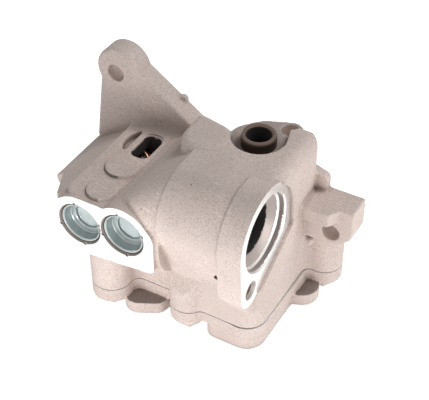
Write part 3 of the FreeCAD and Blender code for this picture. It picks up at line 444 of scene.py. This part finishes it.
def cast_aluminium(name, colour, roughness):
    """Shot-blasted die casting: sandy grain, soft stains, light scuffs, a few pits, and painted shade in
    concave creases, corners and pits.
    """
    material, shader = new_material(name)
    stain = noise(material, 38.0, 3.0, 0.55)
    grain = noise(material, 1500.0, 2.0, 0.75)
    coarse = noise(material, 520.0, 3.0, 0.6)
    pit = specks(material, 105.0, 0.045)
    form = add_node(material, "ShaderNodeNewGeometry")
    white = (1.0, 1.0, 1.0)
    base = ramp(material, stain, [(0.3, shift(colour, 0.93)), (0.55, colour), (0.75, shift(colour, 1.05))])
    speckle = ramp(material, grain, [(0.34, (0.66, 0.64, 0.63)), (0.54, white), (0.70, white)])
    # Painted shade in concave creases: darker where the skin's pointiness is low, convex edges left as they
    # are
    edges = ramp(material, form.outputs["Pointiness"], [
        (0.42, (0.52, 0.48, 0.46)), (0.49, (0.96, 0.955, 0.95)), (0.505, white), (0.58, white)])
    # Pits: real dents in the bump, with painted shade as the dark colour inside them
    dark = ramp(material, pit, [(0.0, (0.26, 0.22, 0.20)), (1.0, white)])
    mixed = multiply(material, multiply(material, base, speckle, 0.85), edges, 1.0)
    mixed = multiply(material, mixed, dark, 1.0)
    # Painted shade in the casting's corners and creases, from the crowding of nearby faces
    mixed = painted_corner_shade(material, mixed, CORNER_SHADE_REACH)
    for turn in ((0.3, 0.5, 0.6), (1.2, 0.1, -0.7)):
        light = add_node(material, "ShaderNodeMix", data_type="RGBA")
        light.inputs[7].default_value = (*shift(colour, 1.22), 1.0)
        link(material, scuffs(material, turn), light.inputs[0])
        link(material, mixed, light.inputs[6])
        mixed = light.outputs[2]
    link(material, mixed, shader.inputs["Base Color"])
    shader.inputs["Metallic"].default_value = 0.0
    shader.inputs["Specular IOR Level"].default_value = 0.22
    gloss = add_node(material, "ShaderNodeMapRange", To_Min=roughness - 0.08, To_Max=roughness + 0.1)
    link(material, coarse, gloss.inputs["Value"])
    link(material, gloss.outputs["Result"], shader.inputs["Roughness"])
    bumped(material, shader, [(coarse, 0.12, 0.45), (grain, 0.12, 0.8), (pit, 0.25, 0.6)])
    return material


def milled_metal(name, colour, roughness, rings=None, axis="X", metallic=0.75):
    """Machined surface: fine tool marks, round an axis where a centre is given."""
    material, shader = new_material(name)
    place = add_node(material, "ShaderNodeTexCoord")
    if rings:
        mapping = add_node(material, "ShaderNodeMapping")
        mapping.inputs["Location"].default_value = tuple(-v * MM for v in rings)
        link(material, place.outputs["Object"], mapping.inputs["Vector"])
        wave = add_node(material, "ShaderNodeTexWave", wave_type="RINGS", rings_direction=axis, Scale=900.0)
        wave.inputs["Distortion"].default_value = 0.6
        link(material, mapping.outputs["Vector"], wave.inputs["Vector"])
        marks = wave.outputs["Fac"]
    else:
        stretch = {"X": (1.0, 14.0, 14.0), "Y": (1.0, 14.0, 1.0), "Z": (14.0, 1.0, 14.0)}[axis]
        marks = noise(material, 300.0, 3.0, 0.6, stretch)
    cloud = noise(material, 60.0, 3.0, 0.5)
    base = ramp(material, cloud, [(0.35, shift(colour, 0.95)), (0.7, shift(colour, 1.03))])
    link(material, base, shader.inputs["Base Color"])
    shader.inputs["Metallic"].default_value = metallic
    gloss = add_node(material, "ShaderNodeMapRange", To_Min=roughness - 0.06, To_Max=roughness + 0.08)
    link(material, marks, gloss.inputs["Value"])
    link(material, gloss.outputs["Result"], shader.inputs["Roughness"])
    bumped(material, shader, [(marks, 0.02, 0.35)])
    return material


def plain_metal(name, colour, roughness, metallic=0.9, grain=900.0, depth=0.02, tint=0.9, corner_shade=0.0):
    """Plated, ground or oxidised metal with a faint grain and cloudy colour, and painted shade in corners
    where a reach for it is given.
    """
    material, shader = new_material(name)
    cloud = noise(material, 120.0, 4.0, 0.6)
    fine = noise(material, grain, 3.0, 0.6)
    base = ramp(material, cloud, [(0.3, shift(colour, tint)), (0.7, shift(colour, 1.05))])
    # Painted shade in corners
    if corner_shade:
        base = painted_corner_shade(material, base, corner_shade)
    link(material, base, shader.inputs["Base Color"])
    shader.inputs["Metallic"].default_value = metallic
    smoothest = max(0.05, roughness - 0.08)
    gloss = add_node(material, "ShaderNodeMapRange", To_Min=smoothest, To_Max=roughness + 0.1)
    link(material, fine, gloss.inputs["Value"])
    link(material, gloss.outputs["Result"], shader.inputs["Roughness"])
    bumped(material, shader, [(fine, depth, 0.4)])
    return material


MATERIALS = {}


def finishes():
    """The named finishes, made once from the panel's colours."""
    if not MATERIALS:
        look = bpy.context.scene.oil_pump_finish
        rough = look.casting_roughness
        y, z = INLET_CENTRE
        MATERIALS["casting"] = cast_aluminium("blasted casting", look.casting, rough)
        # Painted shade: a darker copy of the casting for the ear's up-facing face
        MATERIALS["ear"] = cast_aluminium("ear face with painted shade", shift(look.casting, 0.66), rough)
        # Painted shade: a darker copy of the casting for walls, seats and tops that lie in shade
        MATERIALS["foot"] = cast_aluminium("shaded wall", shift(look.casting, 0.42), rough)
        MATERIALS["hollow"] = plain_metal("shaded hollow", look.hollow, 0.85, metallic=0.0,
                                          grain=1200.0, depth=0.1)
        # Painted shade: a near-black colour for the walls inside the deck window
        MATERIALS["window"] = plain_metal("window wall with painted shade", shift(look.hollow, 2.2), 0.8, metallic=0.0,
                                          grain=1200.0, depth=0.08)
        MATERIALS["valve face"] = milled_metal("milled face", look.milled, 0.34, axis="X")
        MATERIALS["inlet face"] = milled_metal("turned face", look.milled, 0.30,
                                               rings=(INLET_X, y, z), axis="X")
        # Painted shade: the turned walls inside the bores get a darker colour than the turned face
        MATERIALS["turned wall with painted shade"] = milled_metal("turned wall with painted shade", shift(look.casting, 0.52), 0.36,
                                                rings=(INLET_X, y, z), axis="X", metallic=0.35)
        MATERIALS["drilled"] = plain_metal("drilled wall", shift(look.casting, 0.95), 0.38, metallic=0.3,
                                           grain=700.0, depth=0.015)
        MATERIALS["zinc"] = plain_metal("zinc plating", look.zinc, 0.2, metallic=0.55, grain=500.0,
                                        # Zinc plugs with painted shade in their corners and ring edges
                                        depth=0.002, tint=0.75, corner_shade=3.0)
        MATERIALS["dark steel"] = plain_metal("oxidised steel", look.dark_steel, 0.42, metallic=0.6)
        MATERIALS["ring end"] = plain_metal("worn ring end", shift(look.dark_steel, 2.6), 0.38, metallic=0.6)
        # Painted highlight: a pale, mostly diffuse colour so that the spool shows bright in the shaded window
        MATERIALS["stem"] = plain_metal("stem with painted highlight", look.milled, 0.3, metallic=0.2)
        MATERIALS["ground"] = plain_metal("ground steel", look.ground_steel, 0.22)
        MATERIALS["copper"] = plain_metal("copper coat", look.copper, 0.3)
        MATERIALS["bronze"] = plain_metal("bearing bronze", look.bronze, 0.35)
        MATERIALS["sintered"] = plain_metal("sintered steel", look.sintered, 0.5)
    return MATERIALS


def set_materials(piece, names):
    piece.data.materials.clear()
    for name in names:
        piece.data.materials.append(finishes()[name])


def paint_faces(piece, finish, chosen):
    """Give the chosen faces a finish that the piece has."""
    index = list(piece.data.materials).index(finishes()[finish])
    slots = np.zeros(len(piece.data.polygons), dtype=np.int32)
    piece.data.polygons.foreach_get("material_index", slots)
    slots[chosen] = index
    piece.data.polygons.foreach_set("material_index", slots)
    piece.data.update()


def round_wall(centres, normals, axis, centre, radius, low, high, slack=0.12):
    """Mask of the wall of a round hole: near its radius and between two places along its axis."""
    index = "XYZ".index(axis)
    others = [i for i in range(3) if i != index]
    reach = np.hypot(centres[:, others[0]] - centre[0], centres[:, others[1]] - centre[1])
    along = centres[:, index]
    level = np.abs(normals[:, index]) < 0.9
    return (np.abs(reach - radius) < slack) & (along > low) & (along < high) & level


def on_plane(centres, normals, axis, value, sign):
    index = "XYZ".index(axis)
    return (np.abs(centres[:, index] - value) < 0.03) & (normals[:, index] * sign > 0.99)


# Colours, levels and fineness on the panel

def colour(label, words, default):
    return bpy.props.FloatVectorProperty(name=label, description=words, subtype="COLOR", size=3,
                                         min=0, max=1, default=default)


def amount(label, words, low, high, default):
    return bpy.props.FloatProperty(name=label, description=words, min=low, max=high, default=default)


class OilPumpFinish(bpy.types.PropertyGroup):
    """Colours and roughness of the pump's finishes"""
    casting: colour("Casting", "Colour of the blasted castings", (0.73, 0.62, 0.572))
    casting_roughness: amount("Casting roughness", "How matt the castings are", 0.2, 1.0, 0.62)
    hollow: colour("Inside", "Colour of the shaded hollows in the casting", (0.016, 0.013, 0.012))
    milled: colour("Milled", "Colour of the machined aluminium", (0.82, 0.81, 0.80))
    zinc: colour("Zinc", "Colour of the zinc plating", (0.52, 0.58, 0.58))
    dark_steel: colour("Dark steel", "Colour of the outlet spigot", (0.055, 0.038, 0.030))
    ground_steel: colour("Ground steel", "Colour of the spools and shafts", (0.66, 0.65, 0.64))
    copper: colour("Copper", "Colour of the coated spring wire", (0.60, 0.30, 0.17))
    bronze: colour("Bronze", "Colour of the bearing bushes", (0.52, 0.35, 0.16))
    sintered: colour("Sintered", "Colour of the gears", (0.30, 0.30, 0.31))


class OilPumpSizes(bpy.types.PropertyGroup):
    """Fineness of the cast skins and the studio's levels"""
    voxel: amount("Skin grid", "Grid of the cast skins, in millimetres", 0.5, 3.0, 0.6)
    relax: bpy.props.IntProperty(name="Relaxing", description="Rounds of relaxing that round the cast edges",
                                 min=0, max=40, default=3)
    thin: amount("Thinning", "Share of the cast skins' triangles that is kept", 0.1, 1.0, 0.4)
    front_light: amount("Front light", "Strength of the low front lamp in watts", 0.0, 50.0, 0.38)
    side_light: amount("Side light", "Strength of the low right lamp in watts", 0.0, 50.0, 0.32)
    top_light: amount("Top light", "Strength of the lamp behind on the right", 0.0, 50.0, 3.9)
    sky_light: amount("Surroundings", "Strength of the plain surroundings", 0.0, 3.0, 0.24)


# The pieces, one operator for each

class OILPUMP_OT_housing(bpy.types.Operator):
    """Cast housing with its milled faces, bores and holes"""
    bl_idname = "oilpump.housing"
    bl_label = "Housing casting"

    def execute(self, context):
        sizes = context.scene.oil_pump_sizes
        skin = copy_of_node("pump_housing", "housing_casting")
        combine(skin, self.front_blends(), "UNION")
        combine(skin, [hull_prism("boss slope", BOSS_SLOPE, "X", *BOSS_SLOPE_X)])
        raise_faces(skin, faces_on_plane(skin, "X", INLET_X, 1), (RAISE, 0.0, 0.0))
        raise_faces(skin, faces_on_plane(skin, "Y", VALVE_FACE_Y, -1), (0.0, -RAISE, 0.0))
        raise_faces(skin, faces_on_plane(skin, "Z", SEAM_Z, -1), (0.0, 0.0, -RAISE))
        soften_casting(skin, sizes.voxel, sizes.relax)
        thin_out(skin, sizes.thin)
        combine(skin, self.deck_bosses(), "UNION")
        combine(skin, self.milling() + self.inlet() + self.holes() + self.plug_seats())
        self.paint(skin)
        shade(skin, SHELL_ANGLE)
        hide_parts("pump_housing")
        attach(skin, "pump_body")
        return {"FINISHED"}

    def front_blends(self):
        """Casting between the barrel's front wall, its ends and the band below."""
        return [
            hull_prism("front wall", FRONT_WALL, "X", *FRONT_WALL_X),
            hull_prism("front wall foot", FRONT_FOOT, "X", *FRONT_FOOT_X),
            hull_prism("pad foot", PAD_FOOT, "X", *PAD_FOOT_X),
            add_ball("lug foot", LUG_FOOT_RADIUS, LUG_FOOT),
        ]

    def deck_bosses(self):
        """Two low round bosses with a crisp top edge."""
        top = DECK_Z + DECK_BOSS_HEIGHT
        stations = [(0.75, DECK_Z - 2.0), (0.75, DECK_Z + 0.05), (0.1, top - 0.3),
                    (-0.08, top - 0.1), (-0.4, top)]
        return [add_turned("deck boss", [(radius + grow, along) for grow, along in stations], (x, y, 0.0), "Z")
                for x, y, radius in DECK_BOSSES]

    def milling(self):
        """What the cutter takes off the inlet face, the valve face, the joint face and the ear."""
        low, high = INLET_X, INLET_X + 8.0
        inlet = hull_prism("inlet milling", [MILLED_RING, MILLED_PAD], "X", low, high)
        combine(inlet, [
            hull_prism("inlet corner", [MILLED_RING, MILLED_CORNER], "X", low, high),
            add_slab("inlet front", (low, -75.0, -60.0), (high, -42.2, 20.0)),
            add_slab("inlet top", (low, -75.0, 1.3), (high, -15.0, 20.0)),
        ], "UNION")
        return [
            inlet,
            add_slab("valve milling", (-FAR, VALVE_FACE_Y - 40.0, -FAR), (VALVE_RIGHT_X, VALVE_FACE_Y, FAR)),
            add_slab("joint milling", (-FAR, -FAR, SEAM_Z - 40.0), (FAR, FAR, SEAM_Z + SEAM_GAP)),
            hull_prism("ear milling", SPOT_FACE, "Z", 0.0, 14.0),
        ]

    def inlet(self):
        """Stepped inlet bore and the threaded hole beside it."""
        y, z = INLET_CENTRE
        mouth = INLET_X - INLET_CHAMFER
        bore = add_turned("inlet bore", [
            (THROAT_RADIUS, THROAT_END_X), (THROAT_RADIUS, THROAT_X), (STEP_RADIUS, STEP_X),
            (STEP_RADIUS + 0.35, STEP_X), (INLET_RADIUS, STEP_X + 0.8), (INLET_RADIUS, mouth),
            (INLET_RADIUS + 1.8, mouth + 1.8),
        ], (0.0, y, z), "X", 160)
        stations = []
        for turn in range(THREAD_TURNS):
            start = INLET_X - 0.4 - THREAD_PITCH * (THREAD_TURNS - turn)
            stations += [(CORE_RADIUS, start), (THREAD_RADIUS, start + THREAD_PITCH / 2)]
        stations += [(THREAD_RADIUS, INLET_X - 0.9), (THREAD_RADIUS + 2.1, INLET_X + 1.2)]
        thread = add_turned("inlet thread", stations, (0.0, *INLET_SCREW), "X", 64)
        return [bore, thread]

    def holes(self):
        """Bolt holes of arm, lug and ear with a small chamfer, and the deck window."""
        made = []
        for (u, v, radius), (near, far) in ((ARM_HOLE, ARM_FACES), (LUG_HOLE, LUG_FACES)):
            made.append(add_turned("bolt hole", [
                (radius + 1.5, near - 1.1), (radius, near + 0.4),
                (radius, far - 0.4), (radius + 1.5, far + 1.1),
            ], (u, 0.0, v), "Y"))
        x, z, radius = LUG_HOLE
        made.append(add_turned("flap hole", [(radius, -8.0), (radius, 6.0)], (x, 0.0, z), "Y"))
        x, y, radius = EAR_HOLE
        made.append(add_turned("ear hole", [(radius, -14.0), (radius, 4.0)], (x, y, 0.0), "Z"))
        made.append(hull_prism("deck window", WINDOW, "Z", DECK_Z - 16.0, DECK_Z + 6.0))
        rim = [(x, y, radius + 1.1) for x, y, radius in WINDOW]
        made.append(hull_prism("window rim", rim, "Z", DECK_Z - 0.02, DECK_Z + 9.0))
        return made

    def plug_seats(self):
        """Chamfered plug seats and the punch marks that lock the plugs."""
        made = []
        inner = VALVE_FACE_Y + PLUG_RECESS + PLUG_LENGTH + 0.4
        for x, z in (CONTROL_PLUG, RELIEF_PLUG):
            made.append(add_turned("plug seat", [
                (PLUG_RADIUS + 2.2, VALVE_FACE_Y - 1.6), (PLUG_RADIUS, VALVE_FACE_Y + 0.6),
                (PLUG_RADIUS, inner),
            ], (x, 0.0, z), "Y", 128))
            dents = []
            for angle in DENT_ANGLES:
                turn = math.radians(angle)
                across, up = DENT_CIRCLE * math.cos(turn), DENT_CIRCLE * math.sin(turn)
                dents.append(add_ball("punch mark", DENT_RADIUS, (x + across, VALVE_FACE_Y + 0.1, z + up)))
            made.append(join_pieces("punch marks", dents))
        return made

    def paint(self, skin):
        set_materials(skin, ["casting", "valve face", "inlet face", "drilled", "hollow", "turned wall with painted shade", "ear",
                             "window", "foot"])
        centres, normals = face_arrays(skin)
        x, y, z = centres.T
        paint_faces(skin, "casting", np.ones(len(centres), dtype=bool))
        valve_face = on_plane(centres, normals, "Y", VALVE_FACE_Y, -1) & (x < VALVE_RIGHT_X)
        paint_faces(skin, "valve face", valve_face)
        paint_faces(skin, "valve face", on_plane(centres, normals, "Z", SEAM_Z + SEAM_GAP, -1))
        paint_faces(skin, "inlet face", on_plane(centres, normals, "X", INLET_X, 1) & (y < -8.0))
        reach = np.hypot(y - INLET_CENTRE[0], z - INLET_CENTRE[1])
        in_bore = (reach < INLET_RADIUS + INLET_CHAMFER) & (x < INLET_X - 0.02)
        # Painted shade on the turned walls inside the inlet bore
        paint_faces(skin, "turned wall with painted shade", in_bore & (x > THROAT_X - 0.1))
        paint_faces(skin, "inlet face", in_bore & (x > INLET_X - INLET_CHAMFER - 0.05))
        paint_faces(skin, "inlet face", in_bore & (x > STEP_X - 0.05) & (x < STEP_X + 0.75))
        paint_faces(skin, "hollow", (reach < STEP_RADIUS + 1.0) & (x < THROAT_X - 0.1) & (x > -20.0))
        screw = np.hypot(y - INLET_SCREW[0], z - INLET_SCREW[1])
        in_screw_hole = (x < INLET_X - 0.02) & (x > INLET_X - THREAD_DEPTH)
        # Painted shade on the walls of the thread hole
        paint_faces(skin, "turned wall with painted shade", in_screw_hole & (screw < THREAD_RADIUS + 0.95))
        paint_faces(skin, "hollow", in_screw_hole & (screw < THREAD_RADIUS + 0.3) & (x < INLET_X - 3.0))
        holes = round_wall(centres, normals, "Y", ARM_HOLE[:2], ARM_HOLE[2], *ARM_FACES)
        holes |= round_wall(centres, normals, "Y", LUG_HOLE[:2], LUG_HOLE[2], -9.0, LUG_FACES[1])
        holes |= round_wall(centres, normals, "Z", EAR_HOLE[:2], EAR_HOLE[2], -14.0, 2.0)
        paint_faces(skin, "drilled", holes)
        # Painted shade on the walls of the plug seats
        for place in (CONTROL_PLUG, RELIEF_PLUG):
            seat = round_wall(centres, normals, "Y", place, PLUG_RADIUS, VALVE_FACE_Y - 0.1, -48.0, 1.2)
            paint_faces(skin, "foot", seat)
        # Painted shade on the ear's up-facing face
        paint_faces(skin, "ear", on_plane(centres, normals, "Z", 0.0, 1))
        # Painted shade on the walls inside the deck window
        window = (np.abs(x - WINDOW_X) < 8.3) & (x < -49.0) & (y > -24.0) & (y < 0.0)
        window &= (z < DECK_Z - 1.2) & (z > -46.0) & (np.abs(normals[:, 2]) < 0.7)
        paint_faces(skin, "window", window)
        # Painted shade on the boss walls that face left and front
        for place_x, place_y, radius in DECK_BOSSES:
            reach = np.hypot(x - place_x, y - place_y)
            wall = (np.abs(reach - radius) < 0.8) & (z > DECK_Z) & (z < DECK_Z + DECK_BOSS_HEIGHT - 0.1)
            shaded = normals[:, 0] * -0.75 + normals[:, 1] * -0.65 > 0.3
            paint_faces(skin, "foot", wall & shaded & (np.abs(normals[:, 2]) < 0.7))


class OILPUMP_OT_cover(bpy.types.Operator):
    """Cast cover under the gears, milled where it meets the housing"""
    bl_idname = "oilpump.cover"
    bl_label = "Cover casting"

    def execute(self, context):
        sizes = context.scene.oil_pump_sizes
        skin = copy_of_node("pump_cover", "cover_casting")
        raise_faces(skin, faces_on_plane(skin, "Z", SEAM_Z, 1), (0.0, 0.0, RAISE))
        soften_casting(skin, sizes.voxel, sizes.relax)
        face = SEAM_Z - SEAM_GAP
        thin_out(skin, sizes.thin)
        combine(skin, [add_slab("joint milling", (-FAR, -FAR, face), (FAR, FAR, face + 40.0))])
        set_materials(skin, ["casting", "valve face", "foot"])
        centres, normals = face_arrays(skin)
        paint_faces(skin, "casting", np.ones(len(centres), dtype=bool))
        paint_faces(skin, "valve face", on_plane(centres, normals, "Z", face, 1))
        # Painted shade on the up-facing cover tops below the joint face
        paint_faces(skin, "foot", (normals[:, 2] > 0.8) & (centres[:, 2] < face - 0.6))
        shade(skin, SHELL_ANGLE)
        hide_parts("pump_cover")
        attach(skin, "pump_body")
        return {"FINISHED"}


class OILPUMP_OT_spigot(bpy.types.Operator):
    """Dark steel outlet spigot with its neck in the ear"""
    bl_idname = "oilpump.spigot"
    bl_label = "Outlet spigot"

    def execute(self, context):
        top = SPIGOT_HEIGHT
        tube = add_turned("spigot_tube", [
            (7.8, -9.9), (7.8, -0.02), (8.5, 0.02), (8.5, top - 1.3), (8.36, top - 1.15), (8.36, top - 0.7),
            (7.9, top), (6.75, top), (6.1, top - 0.7), (6.1, -9.9), (7.8, -9.9),
        ], (0.0, 0.0, 0.0), "Z", 128, ring=True)
        set_materials(tube, ["dark steel", "ring end", "hollow"])
        centres, normals = face_arrays(tube)
        reach = np.hypot(centres[:, 0], centres[:, 1])
        paint_faces(tube, "dark steel", np.ones(len(centres), dtype=bool))
        paint_faces(tube, "ring end", (centres[:, 2] > top - 0.75))
        paint_faces(tube, "hollow", (reach < 6.3) & (centres[:, 2] < top - 0.75))
        shade(tube, 30.0)
        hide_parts("outlet_spigot")
        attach(tube, "pump_body")
        return {"FINISHED"}


class OILPUMP_OT_plugs(bpy.types.Operator):
    """Two plated cup plugs in the valve face"""
    bl_idname = "oilpump.plugs"
    bl_label = "Valve plugs"

    def execute(self, context):
        rim = VALVE_FACE_Y + PLUG_RECESS
        back = rim + PLUG_LENGTH
        for node, (x, z) in (("control_valve_plug", CONTROL_PLUG), ("relief_valve_plug", RELIEF_PLUG)):
            cup = add_turned(node + "_cup", [
                (10.2, back), (10.92, back - 0.7), (10.92, rim + 0.5), (10.5, rim), (10.05, rim),
                (9.65, rim + 0.5), (9.4, rim + 4.7), (9.0, rim + 5.1), (6.9, rim + 5.1),
                (6.6, rim + 5.4), (6.45, rim + 6.6), (6.2, rim + 6.7),
            ], (x, 0.0, z), "Y", 128)
            set_materials(cup, ["zinc"])
            shade(cup, 30.0)
            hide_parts(node)
            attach(cup, "pump_body")
        return {"FINISHED"}


class OILPUMP_OT_spring(bpy.types.Operator):
    """Copper-coloured control spring seen through the deck window, and the hidden relief spring"""
    bl_idname = "oilpump.spring"
    bl_label = "Control and relief springs"

    def execute(self, context):
        x, z = CONTROL_PLUG
        deselect()
        bpy.ops.mesh.primitive_circle_add(vertices=14, radius=SPRING_WIRE * MM, fill_type="NGON")
        coil = bpy.context.object
        coil.location = Vector((x + SPRING_RADIUS, SPRING_PLACES[0][1], z)) * MM
        settle(coil, "control_spring_coil")
        bpy.ops.object.mode_set(mode="EDIT")
        bpy.ops.mesh.select_mode(type="FACE")
        bpy.ops.mesh.select_all(action="SELECT")
        for (turn, place), (next_turn, next_place) in zip(SPRING_PLACES, SPRING_PLACES[1:]):
            count = round((next_turn - turn) * SPRING_STEPS)
            for _ in range(count):
                rise = (0.0, (next_place - place) / count * MM, 0.0)
                bpy.ops.mesh.extrude_region_move(TRANSFORM_OT_translate={"value": rise})
                bpy.ops.transform.rotate(value=math.tau / SPRING_STEPS, orient_axis="Y",
                                         center_override=(x * MM, 0.0, z * MM))
        bpy.ops.mesh.select_all(action="SELECT")
        bpy.ops.mesh.normals_make_consistent(inside=False)
        bpy.ops.object.mode_set(mode="OBJECT")
        set_materials(coil, ["copper"])
        shade(coil, 40.0)
        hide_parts("control_spring")
        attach(coil, "pump_body")
        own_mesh(coil)
        self.relief_spring()
        return {"FINISHED"}

    def relief_spring(self):
        """The hidden spring behind the relief piston, copied from its solid."""
        coil = copy_of_node("relief_spring", "relief_spring_coil")
        set_materials(coil, ["ground"])
        shade(coil, 40.0)
        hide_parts("relief_spring")
        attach(coil, "pump_body")
        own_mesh(coil)


class OILPUMP_OT_solids(bpy.types.Operator):
    """Finishes of the solids that stay as they are"""
    bl_idname = "oilpump.solids"
    bl_label = "Finishes of the kept solids"

    def execute(self, context):
        looks = {
            "drilled": ["cover_screws"],
            # Painted highlight on the control spool
            "stem": ["control_spool"],
            "ground": ["cover_dowels", "control_spring_seat", "relief_piston", "drive_shaft", "drive_gear_key",
                       "idler_spindle"],
            "bronze": ["driven_gear_bush", "upper_shaft_bush", "lower_shaft_bush"],
            "sintered": ["drive_gear", "driven_gear"],
        }
        for finish, names in looks.items():
            for name in names:
                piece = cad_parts[name]
                for slot in piece.material_slots:
                    slot.material = finishes()[finish]
        return {"FINISHED"}


class OILPUMP_OT_studio(bpy.types.Operator):
    """Pale floor, soft lamps, plain surroundings and the camera"""
    bl_idname = "oilpump.studio"
    bl_label = "Studio"

    def execute(self, context):
        sizes = context.scene.oil_pump_sizes
        deselect()
        bpy.ops.mesh.primitive_plane_add(size=6.0, location=(0.0, 0.0, CAD_BOX[0][2] - 0.0001))
        floor = settle(bpy.context.object, "studio_floor")
        material, shader = new_material("pale floor")
        shader.inputs["Base Color"].default_value = (0.8, 0.8, 0.8, 1.0)
        shader.inputs["Roughness"].default_value = 0.9
        shader.inputs["Specular IOR Level"].default_value = 0.0
        shader.inputs["Emission Color"].default_value = (1.0, 1.0, 1.0, 1.0)
        seen = self.seen_rays(material.node_tree)
        level = add_node(material, "ShaderNodeMath", operation="MULTIPLY")
        level.inputs[1].default_value = 0.86
        link(material, seen, level.inputs[0])
        link(material, level.outputs["Value"], shader.inputs["Emission Strength"])
        floor.data.materials.append(material)
        self.lamp("front lamp", (-0.02, -0.24, -0.060), (-0.02, 0.0, -0.060), (0.30, 0.05), sizes.front_light)
        self.lamp("side lamp", (0.27, -0.03, -0.055), (0.0, -0.03, -0.055), (0.30, 0.06), sizes.side_light)
        self.lamp("top lamp", (0.36, 0.24, 0.80), (-0.02, -0.02, -0.03), (0.3, 0.3), sizes.top_light)
        self.surroundings(context, sizes.sky_light)
        context.scene.view_settings.view_transform = "Standard"
        self.camera(context)
        return {"FINISHED"}

    def seen_rays(self, tree):
        """1 for rays that show the background: from the camera, or through a mirror or glass."""
        path = tree.nodes.new("ShaderNodeLightPath")
        value = path.outputs["Is Camera Ray"]
        for name in ("Is Glossy Ray", "Is Transmission Ray"):
            either = tree.nodes.new("ShaderNodeMath")
            either.operation = "MAXIMUM"
            tree.links.new(value, either.inputs[0])
            tree.links.new(path.outputs[name], either.inputs[1])
            value = either.outputs["Value"]
        return value

    def surroundings(self, context, strength):
        world = bpy.data.worlds.new("plain surroundings")
        context.scene.world = world
        world.use_nodes = True
        tree = world.node_tree
        background = tree.nodes["Background"]
        background.inputs["Color"].default_value = (1.0, 1.0, 1.0, 1.0)
        level = tree.nodes.new("ShaderNodeMapRange")
        level.inputs["To Min"].default_value = strength
        level.inputs["To Max"].default_value = 1.0
        tree.links.new(self.seen_rays(tree), level.inputs["Value"])
        tree.links.new(level.outputs["Result"], background.inputs["Strength"])

    def lamp(self, name, place, target, size, watts):
        data = bpy.data.lights.new(name, "AREA")
        data.shape = "RECTANGLE"
        data.size, data.size_y = size
        data.energy = watts
        lamp = bpy.data.objects.new(name, data)
        bpy.context.scene.collection.objects.link(lamp)
        lamp.location = place
        lamp.rotation_euler = (Vector(target) - Vector(place)).to_track_quat("-Z", "Y").to_euler()

    def camera(self, context):
        data = bpy.data.cameras.new("camera")
        data.sensor_width = 36.0
        data.lens = 93.15
        data.clip_start = 0.01
        camera = bpy.data.objects.new("camera", data)
        context.scene.collection.objects.link(camera)
        right = Vector((0.8686, 0.4955, 0.0)).normalized()
        ahead = Vector((-0.3756, 0.6585, -0.6521)).normalized()
        up = right.cross(ahead).normalized()
        turn = Matrix((right, up, -ahead)).transposed()
        camera.matrix_world = Matrix.Translation((0.1842, -0.3644, 0.3163)) @ turn.to_4x4()
        context.scene.camera = camera


class OILPUMP_PT_panel(bpy.types.Panel):
    """Oil pump pieces and finishes"""
    bl_label = "Oil pump"
    bl_idname = "OILPUMP_PT_panel"
    bl_space_type = "VIEW_3D"
    bl_region_type = "UI"
    bl_category = "Oil pump"

    def draw(self, context):
        layout = self.layout
        for piece in OPERATORS:
            layout.operator(piece.bl_idname)
        for group in (context.scene.oil_pump_finish, context.scene.oil_pump_sizes):
            for name in group.bl_rna.properties.keys():
                if name not in ("rna_type", "name"):
                    layout.prop(group, name)


OPERATORS = [OILPUMP_OT_housing, OILPUMP_OT_cover, OILPUMP_OT_spigot, OILPUMP_OT_plugs, OILPUMP_OT_spring,
             OILPUMP_OT_solids, OILPUMP_OT_studio]
CLASSES = [OilPumpFinish, OilPumpSizes, *OPERATORS, OILPUMP_PT_panel]


def register():
    for item in CLASSES:
        bpy.utils.register_class(item)
    bpy.types.Scene.oil_pump_finish = bpy.props.PointerProperty(type=OilPumpFinish)
    bpy.types.Scene.oil_pump_sizes = bpy.props.PointerProperty(type=OilPumpSizes)


def unregister():
    del bpy.types.Scene.oil_pump_sizes
    del bpy.types.Scene.oil_pump_finish
    for item in reversed(CLASSES):
        bpy.utils.unregister_class(item)


def main():
    register()
    bpy.ops.oilpump.housing()
    bpy.ops.oilpump.cover()
    bpy.ops.oilpump.spigot()
    bpy.ops.oilpump.plugs()
    bpy.ops.oilpump.spring()
    bpy.ops.oilpump.solids()
    bpy.ops.oilpump.studio()


if __name__ == "__main__":
    main()
